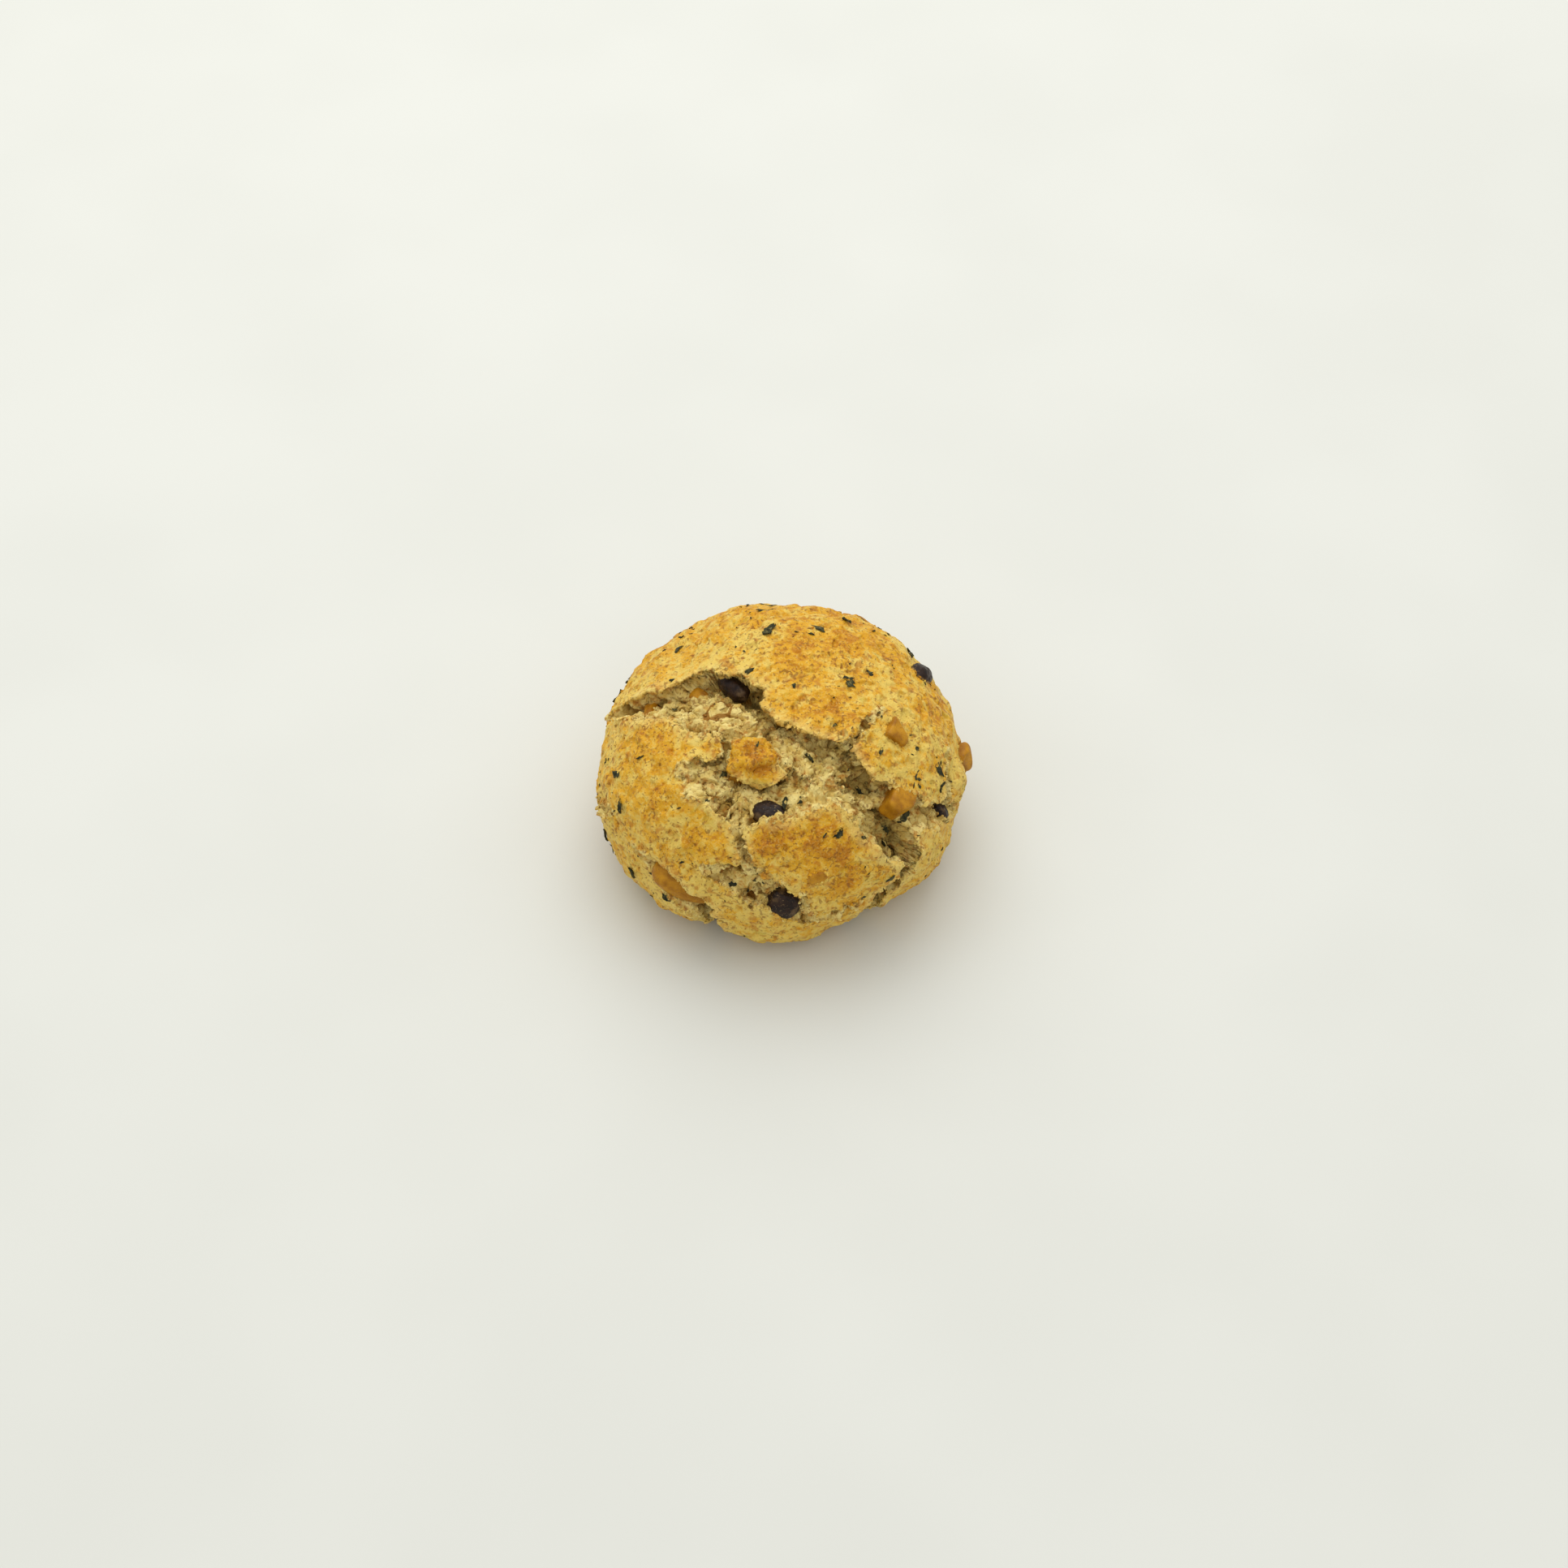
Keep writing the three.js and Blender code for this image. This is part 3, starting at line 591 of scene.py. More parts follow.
# %% Chips and nuts
# Bearing, pitch, length, width, height, turn, how far the middle lies above the surface, power
CHIPS = {
    "chip_1": (163, 66, 7.6, 4.4, 4, 0, 0.3, 2.5),
    "chip_2": (25, 28, 4.8, 5.8, 4.6, 20, -0.7, 2.5),
    "chip_3": (266, 35, 6.4, 4.6, 4.2, 8, -0.5, 2.5),
    "chip_4": (273, 0.5, 6.6, 6, 4.6, -20, 0.3, 2.5),
    "chip_5": (339, 6, 5.2, 4, 4, 30, -0.6, 2.5),
    "chip_6": (104, 6, 6.6, 5.6, 4.6, 40, -1.2, 2.5),
}
NUTS = {
    "nut_half": (238, -1, 14, 7.4, 6, -28, 1.3, 2.3),
    "nut_cube": (319.5, 24.5, 6.4, 5.4, 5, 6, 1.5, 6),
    "nut_chunk": (339, 44, 5.8, 5.2, 4.2, 24, -0.6, 4),
    "nut_edge": (5, 4, 5, 5.4, 4.6, 10, 0, 3.5),
    "nut_sliver": (250, 43.5, 6.6, 3, 2.8, -4, 1.2, 3),
    "nut_bit": (283, 15, 4.2, 2.8, 2.8, 20, -0.4, 3),
    "nut_slit": (175, 29, 5, 3, 3, 30, 0.2, 3),
    "nut_inner": (169, 47, 4, 3.2, 3, 15, 0.6, 3),
    "nut_back": (62, 20, 6.4, 5, 4.4, 50, -1.1, 4),
}
GRAIN_ROWS, GRAIN_COLUMNS = 40, 64
GRAIN_SEED = 50

# Half the size of the patch whose slope a grain or a flake takes
HALF_PATCH = 2

# How near the surface of the dough a grain counts as touching it, and how far up the dough clings to it
TOUCH, CLING = 0.35, 0.6


def ball_grid(rows, columns):
    """A ball of longitude and latitude: its points, ring by ring and then the two poles, its faces of
    four points between the rings, and its faces of three points round the poles."""
    polar = np.linspace(0, np.pi, rows + 1)[1:-1]
    around = np.arange(columns) * 2 * np.pi / columns
    p, a = np.meshgrid(polar, around, indexing="ij")
    sphere = np.stack([np.sin(p) * np.cos(a), np.sin(p) * np.sin(a), np.cos(p)], -1).reshape(-1, 3)
    sphere = np.vstack([sphere, [0, 0, 1], [0, 0, -1]])
    ring, after = np.arange(columns), np.roll(np.arange(columns), -1)
    start = np.arange(rows - 2)[:, None] * columns
    four = np.stack([start + ring, start + columns + ring, start + columns + after, start + after], -1)
    last = (rows - 2) * columns
    top, bottom = np.full(columns, len(sphere) - 2), np.full(columns, len(sphere) - 1)
    three = np.vstack([np.stack([ring, after, top], -1), np.stack([last + after, last + ring, bottom], -1)])
    return sphere, four.reshape(-1, 4), three


def surface_frame(bearing, pitch, turn, lift, fine=False):
    """Axes on the dough: one level, one up the slope and one outwards, turned about the outward one."""
    direction = heading(bearing, pitch)
    side = unit(np.cross([0, 0, 1], direction))
    ahead = np.cross(direction, side)
    around = unit(direction + HALF_PATCH / PATH_RADIUS * np.array([side, -side, ahead, -ahead]))
    points = dough_form(np.vstack([around, direction]), fine)[0]
    out = unit(np.cross(points[0] - points[1], points[2] - points[3]))
    out *= np.sign(out @ direction)
    level = unit(np.cross([0, 0, 1], out))
    up = np.cross(out, level)
    c, s = np.cos(np.radians(turn)), np.sin(np.radians(turn))
    axes = np.stack([c * level + s * up, c * up - s * level, out], -1)
    return axes, points[4] + out * lift


def grain_points(sphere, length, width, height, power, seed, cuts, roughness):
    """Radius of a superellipsoid for each angle, cut off by planes, with a fine noise."""
    radius = np.sum(np.abs(sphere) ** power, axis=1) ** (-1 / power)
    random = np.random.default_rng(seed)
    for _ in range(cuts):
        facing = np.maximum(sphere @ unit(random.normal(size=3)), 1e-3)
        radius = np.minimum(radius, random.uniform(0.8, 0.97) / facing)
    uneven = smooth_noise(sphere, 0.5, seed) + 0.4 * smooth_noise(sphere, 0.2, seed + 1)
    return sphere * (radius * (1 + roughness * uneven))[:, None] * np.array([length, width, height]) / 2


def height_above_dough(points):
    """How far each point lies outside the fine dough, measured from the middle of the dough."""
    outward = points - np.array([0, 0, MIDDLE])
    reach = np.linalg.norm(outward, axis=1)
    surface = dough_form(outward / reach[:, None])[0] - np.array([0, 0, MIDDLE])
    return reach - np.linalg.norm(surface, axis=1)


contacts = []


def make_grains(table, cuts, roughness):
    """Each grain gets a mask that is 1 where dough clings to it, near the line where it goes in."""
    sphere, four, three = ball_grid(GRAIN_ROWS, GRAIN_COLUMNS)
    faces = four.tolist() + three.tolist()
    made = []
    for k, (name, row) in enumerate(table.items()):
        bearing, pitch, length, width, height, turn, lift, power = row
        axes, spot = surface_frame(bearing, pitch, turn, lift)
        grain = grain_points(sphere, length, width, height, power, GRAIN_SEED + k, cuts, roughness)
        points = grain @ axes.T + spot
        above = height_above_dough(points)
        contacts.append(points[np.abs(above) < TOUCH])
        piece = new_piece(name + "_fine", points, faces, {"cling": smooth_step(1 - above / CLING)})
        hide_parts(name)
        made.append(piece)
        off = np.abs(np.vstack(box_of(seat(points))) - np.array(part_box(name)) / MM).max()
        print(name, "differs from its solid by at most", round(float(off), 2), "mm,",
              round(float(np.mean(above > 0)), 2), "of it shows")
    return made


chips = make_grains(CHIPS, 0, 0.06)
nuts = make_grains(NUTS, 4, 0.02)

# %% [markdown]
# ## Crumbs
# Torn dough is not one smooth skin: ragged crumbs hang along the lips, lie in the tears and cling to
# the chips and nuts. Displacing the dough alone can't overhang, so thousands of little ragged lumps,
# each a warped ball of a few dozen faces, are sunk into it where they belong and joined in one mesh.

# %% Little lumps
def warped_balls(centres, sizes, turns, seed, rows=4, columns=7, uneven=0.4):
    """Each ball is a grid of angles, with a radius of its own at each point, stretched and turned."""
    sphere, four, three = ball_grid(rows, columns)
    random = np.random.default_rng(seed)
    bumps = 1 + uneven * random.uniform(-1, 1, (len(centres), len(sphere), 1))
    balls = sphere[None] * bumps * sizes[:, None, :]
    balls = np.einsum("kij,knj->kni", turns, balls) + centres[:, None, :]
    offset = np.arange(len(centres))[:, None, None] * len(sphere)
    faces = (four + offset).reshape(-1, 4).tolist() + (three + offset).reshape(-1, 3).tolist()
    return balls.reshape(-1, 3), faces


def random_turns(count, random):
    """Rotation matrices from random unit quaternions."""
    w, x, y, z = unit(random.normal(size=(count, 4))).T
    return np.stack([
        np.stack([1 - 2 * (y * y + z * z), 2 * (x * y - z * w), 2 * (x * z + y * w)], -1),
        np.stack([2 * (x * y + z * w), 1 - 2 * (x * x + z * z), 2 * (y * z - x * w)], -1),
        np.stack([2 * (x * z - y * w), 2 * (y * z + x * w), 1 - 2 * (x * x + y * y)], -1)], 1)


# %% Crumbs
# Count, middle radius in millimetres, how long they are for their width, and how far they are sunk: on
# the lips, in the tears, on the crust, and round the chips and nuts, where they aren't sunk
FRINGE = (1300, 0.33, 1.5, 0.25)
RUBBLE = (900, 0.33, 1.4, 0.35)
DUST = (500, 0.15, 1.3, 0.3)
COLLAR = (500, 0.24, 1.5)
CLEAR_OF_FOOT = 1.2
SPREAD = 0.4
random = np.random.default_rng(7)


def crumb_sizes(count, radius, long):
    """Radii spread about their middle value, with one axis longer than the other two."""
    radii = radius * np.exp(random.normal(0, SPREAD, count))
    shape = random.uniform(0.6, 1.1, (count, 3)) * np.array([long ** 0.7, long ** -0.3, long ** -0.3])
    return radii[:, None] * shape


def scattered(chance, group):
    """Crumbs of a group on the points of the dough, each picked with its chance."""
    count, radius, long, sunk = group
    picked = random.choice(len(dough_points), count, replace=False, p=chance / chance.sum())
    sizes = crumb_sizes(count, radius, long)
    centres = dough_points[picked] - surface_normals[picked] * (sunk * sizes.mean(axis=1))[:, None]
    return centres, sizes, picked


above_foot = dough_points[:, 2] > CLEAR_OF_FOOT
torn = dough_masks["torn"]
edge_here = torn * (1 - torn) * 4 * above_foot
torn_here = torn ** 2 * above_foot
groups = [scattered(edge_here + 0.05 * dough_masks["lip"] * above_foot, FRINGE),
          scattered(torn_here, RUBBLE),
          scattered((1 - torn) * above_foot, DUST)]
ring = np.vstack(contacts)
ring = ring[random.choice(len(ring), COLLAR[0], replace=False)]
# A crumb of the collar takes its masks from the nearest of every seventh point of the dough
every = 7
sample = dough_points[::every]
nearest = np.argmin(np.sum(sample ** 2, axis=1)[None] - 2 * ring @ sample.T, axis=1) * every
groups.append((ring, crumb_sizes(*COLLAR), nearest))
centres, sizes, sources = (np.concatenate(parts) for parts in zip(*groups))
crumb_points, crumb_faces = warped_balls(centres, sizes, random_turns(len(centres), random), 8)
per_ball = len(crumb_points) // len(centres)
crumb_masks = {label: np.repeat(values[sources], per_ball) for label, values in dough_masks.items()}
crumbs = new_piece("crumbs", crumb_points, crumb_faces, crumb_masks, smooth=False)
print("crumbs", len(centres), "faces", len(crumb_faces))

# %% [markdown]
# ## Leaf flakes
# Dark dried leaf is baked into the crust and the crumb, from flakes of a few millimetres to mere dots.
# Painted spots would have no edges, so each flake is a thin, wavy, closed sliver laid on the surface. The
# largest are listed one by one and the small ones are scattered, and all are joined in one mesh.

# %% Leaf flakes
# Bearing, pitch, length, width, turn
LARGE_FLAKES = [
    (97, 34, 3.6, 1.2, 5), (100, 45, 3.4, 1.6, -20), (102, 62, 3.8, 2.8, 25), (68, 57, 4.4, 2.2, -5),
    (58, 46, 3, 1.4, -30), (163, 43, 1.6, 0.8, 40), (153, 76, 3.2, 1.6, 55), (323, 84, 1.4, 0.9, 10),
    (0, 64, 2.6, 2.2, 0), (24, 42, 2.8, 1.1, -60), (173, 31, 1.6, 1, -60), (203, 21, 2.6, 1.8, 30),
    (212, 16, 3, 1.4, -50), (203, -7, 3.2, 1.2, -75), (207, -9, 2.4, 1, -70), (220, -7, 2.4, 1.2, -40),
    (236, -3, 2.4, 1.2, -50), (206, 31, 2, 0.5, 70), (255, 56, 1.8, 0.5, 40), (256, 9, 2, 1.6, 0),
    (263, 10, 2.6, 2, -30), (273, 38, 2.8, 1.4, -40), (280, 39, 2.6, 1.2, -60), (291, 28, 2.6, 1.4, 30),
    (298, 24, 2, 0.8, -60), (306, 7, 2.6, 1.4, 20), (309, 2, 2, 1.2, 30), (315, 5, 4.2, 2, -70),
    (311, 12, 3, 1.6, -40), (343, 23, 4.4, 1.8, 70), (331, 30, 2.2, 1, 20), (324, 44, 2.2, 0.8, 20),
    (359, 4, 4, 1.8, 80), (289, 54, 3.2, 1.2, 20), (311, 33, 2.6, 1.4, 10), (319, 21, 3.4, 2, 60),
    (314, 16, 3.2, 2.2, -50), (240, 43, 3.2, 1.6, 0), (298, 1, 1.2, 1, 0), (240, -3, 2.2, 1.2, 70),
    (241, 34, 1.6, 1, 40), (40, 22, 3.8, 2, -25), (140, 30, 3.8, 2, 35), (120, 15, 3.2, 1.4, 10),
    (85, 5, 3, 1.8, -40), (60, 12, 2.6, 1.6, 60), (30, 5, 3.4, 1.4, 20), (160, 12, 3, 1.4, -30),
    (15, 55, 2.2, 1.2, 30),
]

# The small flakes lie in clusters, spread by some degrees. Middle length and thickness are in millimetres.
SMALL_COUNT, SMALL_CLUSTERS, CLUSTER_SPREAD = 150, 60, 3.5
SMALL_LENGTH = 0.8
LOWEST_PITCH, HIGHEST_PITCH = -20, 84
FLAKE_ALONG, FLAKE_ACROSS = 9, 5
FLAKE_THICKNESS = 0.16
LARGE_LIFT, SMALL_LIFT = 0.1, 0.06


def flake_forms(spots, axes, lengths, widths, seed):
    """Each flake: along its length u, the two half widths are ragged and narrow at the ends, the flake
    curls across and waves along, and its two faces lie a thickness apart and share their rim."""
    random = np.random.default_rng(seed)
    count = len(spots)
    u, v = np.linspace(-1, 1, FLAKE_ALONG), np.linspace(-1, 1, FLAKE_ACROSS)
    grid_u, grid_v = np.meshgrid(u, v, indexing="ij")
    taper = np.clip(1.12 - np.abs(u) ** 1.7, 0, 1)[None]
    upper = taper * random.uniform(0.35, 1.15, (count, FLAKE_ALONG))
    lower = taper * random.uniform(0.35, 1.15, (count, FLAKE_ALONG))
    half_width = np.where(grid_v[None] > 0, upper[:, :, None], lower[:, :, None])
    bend = random.uniform(-0.5, 0.5, (count, 1, 1))
    x = grid_u[None] * lengths[:, None, None] / 2
    y = (grid_v[None] * half_width + bend * (grid_u[None] ** 2 - 0.4)) * widths[:, None, None] / 2
    phase = random.uniform(0, 6.28, (count, 1, 1))
    curl = random.uniform(-0.04, 0.16, (count, 1, 1)) * grid_v[None] ** 2
    wave = (0.06 * np.sin(3 * grid_u[None] + phase) + curl) * np.minimum(lengths, 3)[:, None, None]
    thick = FLAKE_THICKNESS / 2 * (1 - 0.9 * np.maximum(np.abs(grid_u), np.abs(grid_v)) ** 4)[None]
    both = [np.stack([x, y, wave + sign * thick], -1).reshape(count, -1, 3) for sign in (1, -1)]
    points = np.einsum("kij,knj->kni", axes, np.concatenate(both, axis=1)) + spots[:, None, :]
    n = FLAKE_ALONG * FLAKE_ACROSS
    index = np.arange(n).reshape(FLAKE_ALONG, FLAKE_ACROSS)
    top = np.stack([index[:-1, :-1], index[1:, :-1], index[1:, 1:], index[:-1, 1:]], -1).reshape(-1, 4)
    rim = np.concatenate([index[:-1, 0], index[-1, :-1], index[:0:-1, -1], index[0, :0:-1]])
    side = np.stack([rim, rim + n, np.roll(rim, -1) + n, np.roll(rim, -1)], -1)
    faces = np.vstack([top, top[:, ::-1] + n, side])
    offset = np.arange(count)[:, None, None] * 2 * n
    return points.reshape(-1, 3), (faces[None] + offset).reshape(-1, 4).tolist()


random = np.random.default_rng(21)
frames = [surface_frame(b, p, turn, LARGE_LIFT, True) for b, p, _, _, turn in LARGE_FLAKES]
large = np.array(LARGE_FLAKES, float)
centre = random.integers(0, SMALL_CLUSTERS, SMALL_COUNT)
spread = random.normal(0, CLUSTER_SPREAD, (2, SMALL_COUNT))
small_pitch = np.degrees(np.arcsin(random.uniform(-0.3, 0.96, SMALL_CLUSTERS)))[centre] + spread[0]
small_pitch = np.clip(small_pitch, LOWEST_PITCH, HIGHEST_PITCH)
small_bearing = random.uniform(0, 360, SMALL_CLUSTERS)[centre] + spread[1] / np.cos(np.radians(small_pitch))
small_turn = random.uniform(0, 180, SMALL_COUNT)
frames += [surface_frame(*place, SMALL_LIFT, True) for place in zip(small_bearing, small_pitch, small_turn)]
flake_axes = np.array([axes for axes, _ in frames])
flake_spots = np.array([spot for _, spot in frames])
small_length = SMALL_LENGTH * np.exp(random.normal(0, SPREAD, SMALL_COUNT))
lengths = np.concatenate([large[:, 2], small_length])
widths = np.concatenate([large[:, 3], small_length * random.uniform(0.25, 0.6, SMALL_COUNT)])
flake_points, flake_faces = flake_forms(flake_spots, flake_axes, lengths, widths, 22)
flakes = new_piece("leaf_flakes", flake_points, flake_faces)
print("flakes", len(lengths), "faces", len(flake_faces))

# %% [markdown]
# ## Finishes
# The crust, crumb, chocolate, nut and leaf each have grain of their own. Pictures could be wrapped over
# them, but noise on Object coordinates needs no unwrapping and never repeats. Specks are used by more
# than one finish, so they are a node group.

# %% Node helpers
def new_material(name, roughness):
    """A material with its node tree and its Principled BSDF."""
    material = bpy.data.materials.new(name)
    material.use_nodes = True
    shader = material.node_tree.nodes["Principled BSDF"]
    shader.inputs["Roughness"].default_value = roughness
    return material, material.node_tree, shader


def add(tree, kind, **settings):
    """A new node with its settings."""
    node = tree.nodes.new(kind)
    for key, value in settings.items():
        setattr(node, key, value)
    return node


def noise(tree, coordinates, size_mm, detail=2.0, distortion=0.0):
    """Noise texture whose features are about size_mm across: gives its value from 0 to 1."""
    node = add(tree, "ShaderNodeTexNoise")
    node.inputs["Scale"].default_value = 1 / (size_mm * MM)
    node.inputs["Detail"].default_value = detail
    node.inputs["Distortion"].default_value = distortion
    tree.links.new(coordinates, node.inputs["Vector"])
    return node.outputs["Fac"]


def span(tree, value, low, high, to_low=0.0, to_high=1.0):
    """Maps a value from one span to another, smoothly and clamped."""
    node = add(tree, "ShaderNodeMapRange", interpolation_type="SMOOTHSTEP")
    for label, number in zip(("From Min", "From Max", "To Min", "To Max"), (low, high, to_low, to_high)):
        node.inputs[label].default_value = number
    tree.links.new(value, node.inputs["Value"])
    return node.outputs["Result"]


def mix(tree, share, first, second):
    """Colour between two, each a socket or three numbers. The share is a socket."""
    node = add(tree, "ShaderNodeMix", data_type="RGBA")
    for socket, value in ((node.inputs[0], share), (node.inputs[6], first), (node.inputs[7], second)):
        if isinstance(value, bpy.types.NodeSocket):
            tree.links.new(value, socket)
        else:
            socket.default_value = (*value, 1)
    return node.outputs[2]


def calculate(tree, operation, first, second, clamp=False):
    """One sum with two values, each a socket or a number."""
    node = add(tree, "ShaderNodeMath", operation=operation, use_clamp=clamp)
    for socket, value in zip(node.inputs, (first, second)):
        if isinstance(value, bpy.types.NodeSocket):
            tree.links.new(value, socket)
        else:
            socket.default_value = value
    return node.outputs[0]


def attribute(tree, name):
    return add(tree, "ShaderNodeAttribute", attribute_name=name).outputs["Fac"]


def object_place(tree):
    return add(tree, "ShaderNodeTexCoord").outputs["Object"]


def bump(tree, shader, height, depth_mm):
    """Fine relief under the size of the mesh, on the shader's normal."""
    node = add(tree, "ShaderNodeBump")
    node.inputs["Distance"].default_value = depth_mm * MM
    tree.links.new(height, node.inputs["Height"])
    tree.links.new(node.outputs["Normal"], shader.inputs["Normal"])


# %% Speck group
def make_speck_group():
    """Irregular specks: a fine noise over a threshold, where a wider noise lets them gather."""
    group = bpy.data.node_groups.new("specks", "ShaderNodeTree")
    for name, value in (("Scale", 900.0), ("Threshold", 0.6), ("Sharpness", 12.0)):
        group.interface.new_socket(name, in_out="INPUT", socket_type="NodeSocketFloat").default_value = value
    group.interface.new_socket("Mask", in_out="OUTPUT", socket_type="NodeSocketFloat")
    source = add(group, "NodeGroupInput")
    result = add(group, "NodeGroupOutput")
    place = object_place(group)
    fine = add(group, "ShaderNodeTexNoise")
    fine.inputs["Detail"].default_value = 3
    fine.inputs["Distortion"].default_value = 0.4
    group.links.new(place, fine.inputs["Vector"])
    group.links.new(source.outputs["Scale"], fine.inputs["Scale"])
    wide = noise(group, place, 5.0)
    gathered = calculate(group, "ADD", fine.outputs["Fac"], calculate(group, "MULTIPLY", wide, 0.2))
    over = calculate(group, "SUBTRACT", gathered, source.outputs["Threshold"])
    mask = calculate(group, "MULTIPLY", over, source.outputs["Sharpness"], clamp=True)
    group.links.new(mask, result.inputs["Mask"])
    return group


speck_group = make_speck_group()


def specks(tree, size_mm, threshold, strength, sharpness=12.0):
    """Mask of specks about size_mm across, fewer with a higher threshold, as strong as strength."""
    node = add(tree, "ShaderNodeGroup", node_tree=speck_group)
    node.inputs["Scale"].default_value = 1 / (size_mm * MM)
    node.inputs["Threshold"].default_value = threshold
    node.inputs["Sharpness"].default_value = sharpness
    return calculate(tree, "MULTIPLY", node.outputs["Mask"], strength)


# %% Dough finish
# Linear colours
PALE_CRUST = (0.77, 0.54, 0.105)
GOLD_CRUST = (0.72, 0.37, 0.014)
BROWN_CRUST = (0.52, 0.20, 0.004)
FLOUR = (0.82, 0.64, 0.20)
GREEN_TINT = (0.42, 0.36, 0.035)
PALE_CRUMB = (0.82, 0.66, 0.24)
TAN_CRUMB = (0.66, 0.46, 0.115)
# Painted shade for the pores of the crumb
PAINTED_PORE_SHADE = (0.36, 0.20, 0.025)
# Painted shade for the deep floors of the tears
PAINTED_DEEP_SHADE = (0.46, 0.32, 0.08)
ORANGE_SPECK = (0.50, 0.19, 0.012)
BROWN_SPECK = (0.22, 0.075, 0.01)
STAIN_BROWN = (0.28, 0.11, 0.008)


def make_dough_finish():
    """Crust and crumb are coloured apart, and the torn mask, broken by a noise, picks one of them."""
    material, tree, shader = new_material("dough_finish", 0.6)
    shader.inputs["Specular IOR Level"].default_value = 0.22
    place = object_place(tree)
    torn, relief = attribute(tree, "torn"), attribute(tree, "relief")
    # Crust: from pale to gold to brown as it browns, and darker on the lower front, where the brown mask
    # carries painted shade; then a green tint from the leaf, and flour on the lips
    cloud = span(tree, noise(tree, place, 4.5, 4, 0.5), 0.32, 0.68, -0.42, 0.42)
    grain = span(tree, noise(tree, place, 1.5, 5, 0.5), 0.32, 0.68, -0.36, 0.36)
    toasted_and_shaded = calculate(tree, "ADD", attribute(tree, "brown"), calculate(tree, "ADD", cloud, grain))
    toasted_and_shaded = calculate(tree, "ADD", toasted_and_shaded, calculate(tree, "MULTIPLY", relief, 0.25))
    crust = mix(tree, span(tree, toasted_and_shaded, 0.0, 0.75), PALE_CRUST, GOLD_CRUST)
    crust = mix(tree, span(tree, toasted_and_shaded, 0.75, 1.5), crust, BROWN_CRUST)
    green = span(tree, noise(tree, place, 4.0, 3), 0.6, 0.72, 0.0, 0.3)
    crust = mix(tree, green, crust, GREEN_TINT)
    flour = span(tree, noise(tree, place, 0.4, 3), 0.5, 0.7, 0.0, 0.35)
    crust = mix(tree, flour, crust, FLOUR)
    crust = mix(tree, span(tree, attribute(tree, "lip"), 0.35, 1.0, 0.0, 0.5), crust, FLOUR)
    # Crumb: pale and tan, with painted shade in its pores and deep in the tears
    crumb = mix(tree, span(tree, noise(tree, place, 1.9, 5), 0.38, 0.66), PALE_CRUMB, TAN_CRUMB)
    crumb = mix(tree, span(tree, relief, -0.2, -1.1, 0.0, 0.75), crumb, PAINTED_PORE_SHADE)
    crumb = mix(tree, calculate(tree, "MULTIPLY", green, 0.6), crumb, GREEN_TINT)
    crumb = mix(tree, span(tree, attribute(tree, "deep"), 3.5, 8.0, 0.0, 0.85), crumb, PAINTED_DEEP_SHADE)
    ragged = calculate(tree, "ADD", torn, span(tree, noise(tree, place, 0.6, 4), 0.3, 0.7, -0.3, 0.3))
    torn_edge = span(tree, ragged, 0.35, 0.65)
    colour = mix(tree, torn_edge, crust, crumb)
    for size_mm, threshold, strength, sharpness, tint in (
            (1.6, 0.645, 0.7, 8.0, ORANGE_SPECK), (0.7, 0.665, 0.65, 12.0, BROWN_SPECK),
            (1.1, 0.76, 0.7, 12.0, BROWN_SPECK)):
        colour = mix(tree, specks(tree, size_mm, threshold, strength, sharpness), colour, tint)
    colour = mix(tree, span(tree, attribute(tree, "stain"), 0.3, 0.7, 0.0, 0.9), colour, STAIN_BROWN)
    tree.links.new(colour, shader.inputs["Base Color"])
    rough = mix(tree, torn_edge, (0.55, 0.55, 0.55), (0.9, 0.9, 0.9))
    tree.links.new(rough, shader.inputs["Roughness"])
    pores = calculate(tree, "ADD", noise(tree, place, 0.4, 4), noise(tree, place, 1.0, 4))
    bump(tree, shader, pores, 0.25)
    return material


dough_finish = make_dough_finish()

# %% Chocolate, nut and leaf finishes
CLINGING_CRUMB = (0.55, 0.36, 0.12)
DARK_CHOCOLATE, WORN_CHOCOLATE = (0.012, 0.005, 0.003), (0.034, 0.015, 0.007)
DRY_FILM, CHOCOLATE_DUST = (0.20, 0.12, 0.05), (0.30, 0.20, 0.09)
DARK_NUT, PALE_NUT, NUT_SPECK = (0.32, 0.125, 0.003), (0.54, 0.25, 0.010), (0.20, 0.07, 0.012)
DARK_LEAF, DRY_LEAF, LEAF_SPECK = (0.018, 0.020, 0.009), (0.075, 0.070, 0.024), (0.30, 0.24, 0.07)


def make_small_finish(name, rough, specular, cloud, colours, dust, relief, film=None, cling=0.0):
    """Two colours in clouds, with a dry film and smeared dough where the piece has them, and specks of
    dust. Cloud is its size and span, dust a size, threshold and colour, and relief a size and depth."""
    material, tree, shader = new_material(name, rough[0])
    shader.inputs["Specular IOR Level"].default_value = specular
    place = object_place(tree)
    colour = mix(tree, span(tree, noise(tree, place, cloud[0], 4), *cloud[1:]), *colours)
    if film:
        colour = mix(tree, span(tree, noise(tree, place, 2.6, 4), 0.56, 0.7, 0.0, 0.5), colour, film)
    if cling:
        patchy = span(tree, noise(tree, place, 0.8, 5), 0.42, 0.62)
        share = calculate(tree, "MULTIPLY", attribute(tree, "cling"), patchy)
        colour = mix(tree, calculate(tree, "MULTIPLY", share, cling), colour, CLINGING_CRUMB)
    colour = mix(tree, specks(tree, dust[0], dust[1], 0.5), colour, dust[2])
    tree.links.new(colour, shader.inputs["Base Color"])
    if rough[1:]:
        patches = span(tree, noise(tree, place, 0.8, 3), 0.3, 0.7, *rough[1:])
        tree.links.new(patches, shader.inputs["Roughness"])
    bump(tree, shader, noise(tree, place, relief[0], 4), relief[1])
    return material


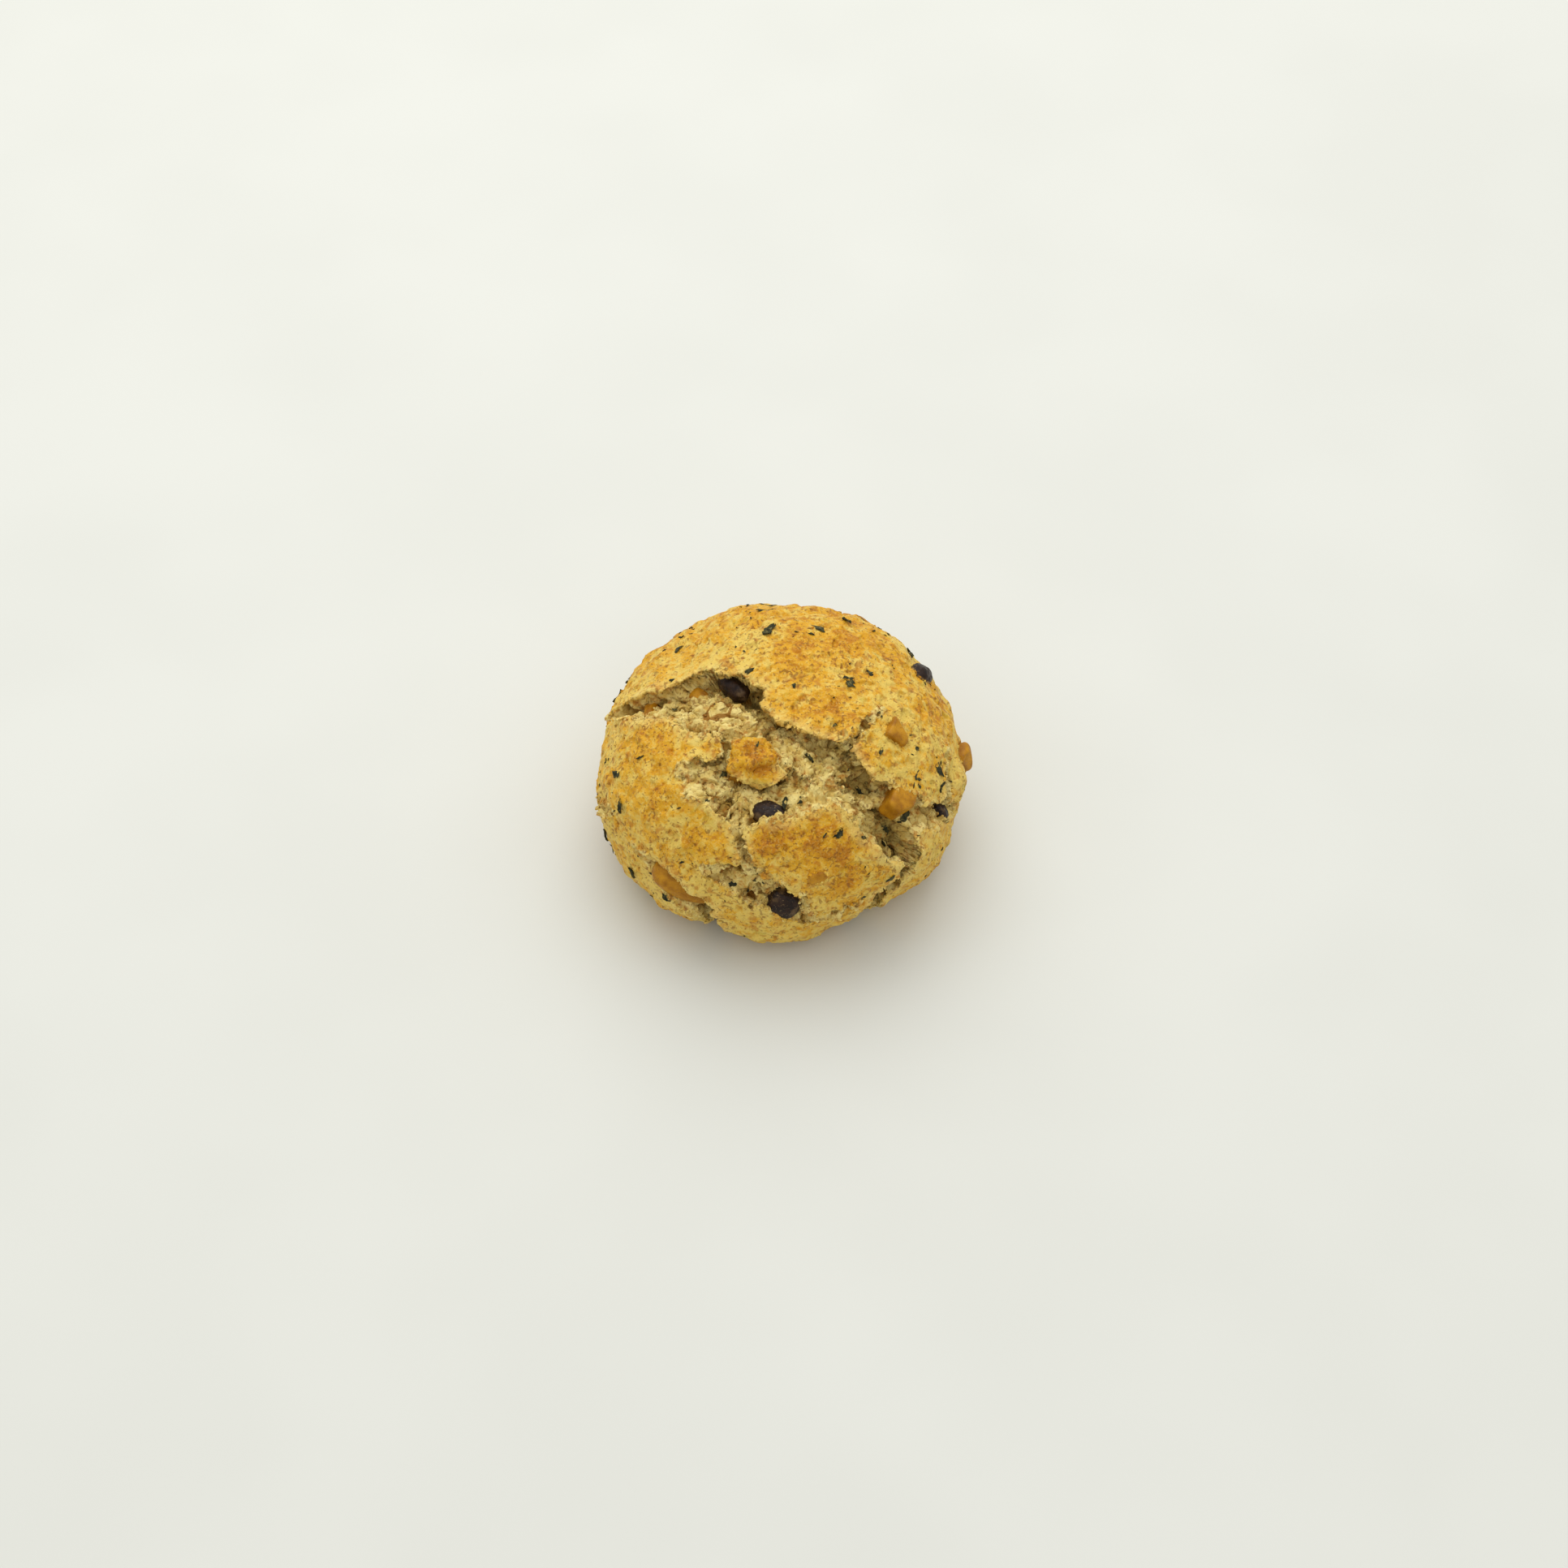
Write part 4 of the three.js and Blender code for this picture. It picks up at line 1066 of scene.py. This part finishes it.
chocolate_finish = make_small_finish(
    "chocolate_finish", (0.32, 0.25, 0.6), 0.22, (1.4, 0.35, 0.7), (DARK_CHOCOLATE, WORN_CHOCOLATE),
    (0.4, 0.72, CHOCOLATE_DUST), (0.6, 0.15), DRY_FILM, 0.85)
nut_finish = make_small_finish(
    "nut_finish", (0.4, 0.3, 0.55), 0.2, (2.0, 0.32, 0.68), (DARK_NUT, PALE_NUT),
    (0.5, 0.70, NUT_SPECK), (0.5, 0.15), cling=0.3)
leaf_finish = make_small_finish(
    "leaf_finish", (0.6,), 0.15, (0.9, 0.35, 0.7), (DARK_LEAF, DRY_LEAF), (0.6, 0.7, LEAF_SPECK), (0.3, 0.1))
for pieces, finish in (([*dough, crumbs], dough_finish), (chips, chocolate_finish), (nuts, nut_finish),
                       ([flakes], leaf_finish)):
    for piece in pieces:
        piece.data.materials.append(finish)

# %% [markdown]
# ## Floor and light
# The scone stands on a plain pale surface under one large soft light, high and a little behind it, with
# an even glow from all round. A small light would give hard shadows that a food picture doesn't have.

# %% Floor and light
# Metres
FLOOR_SIDE = 4.0
FLOOR_LEVEL = -1e-4
FLOOR_DARK, FLOOR_LIGHT = (0.68, 0.685, 0.625), (0.70, 0.705, 0.645)
floor_data = bpy.data.meshes.new("floor")
floor_corners = np.array([(-0.5, -0.5), (0.5, -0.5), (0.5, 0.5), (-0.5, 0.5)]) * FLOOR_SIDE
floor_points = np.column_stack([floor_corners, np.full(4, FLOOR_LEVEL)])
floor_data.from_pydata(floor_points.tolist(), [], [(0, 1, 2, 3)])
floor = bpy.data.objects.new("floor", floor_data)
bpy.context.scene.collection.objects.link(floor)
floor_finish, floor_tree, floor_shader = new_material("floor_finish", 0.7)
floor_cloud = span(floor_tree, noise(floor_tree, object_place(floor_tree), 60, 2), 0.3, 0.7)
floor_colour = mix(floor_tree, floor_cloud, FLOOR_DARK, FLOOR_LIGHT)
floor_tree.links.new(floor_colour, floor_shader.inputs["Base Color"])
floor_data.materials.append(floor_finish)
floor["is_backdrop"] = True

# The glow is weaker near the horizon than overhead
HORIZON, ZENITH = 0.5, 1.0
world = bpy.data.worlds.new("soft_room")
world.use_nodes = True
sky = world.node_tree
glow = sky.nodes["Background"]
glow.inputs["Color"].default_value = (1, 1, 1, 1)
upward = add(sky, "ShaderNodeSeparateXYZ")
sky.links.new(add(sky, "ShaderNodeTexCoord").outputs["Generated"], upward.inputs[0])
sky.links.new(span(sky, upward.outputs["Z"], 0.0, 0.9, HORIZON, ZENITH), glow.inputs["Strength"])
bpy.context.scene.world = world

# Metres and watts. The lamp looks at the origin.
LIGHT_SIZE, LIGHT_POWER = 0.9, 3.4
LIGHT_PLACE = np.array([-0.10, 0.42, 0.70])
lamp_data = bpy.data.lights.new("soft_box", "AREA")
lamp_data.size = LIGHT_SIZE
lamp_data.energy = LIGHT_POWER
lamp = bpy.data.objects.new("soft_box", lamp_data)
back = unit(LIGHT_PLACE)
side = unit(np.cross([0, 1.0, 0], back))
stand(lamp, side, np.cross(back, side), back, LIGHT_PLACE)

view = bpy.context.scene.view_settings
view.view_transform = "Standard"
view.look = "None"

# %% [markdown]
# ## Sizes
# What is added here must not make the scone larger than its solids. A ruler on the render would only show
# one side, so both boxes are measured and kept.

# %% Sizes
visual_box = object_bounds()
sizes = {"cad": [list(map(float, corner)) for corner in cad_box],
         "visual": [list(map(float, corner)) for corner in visual_box]}
print(sizes)
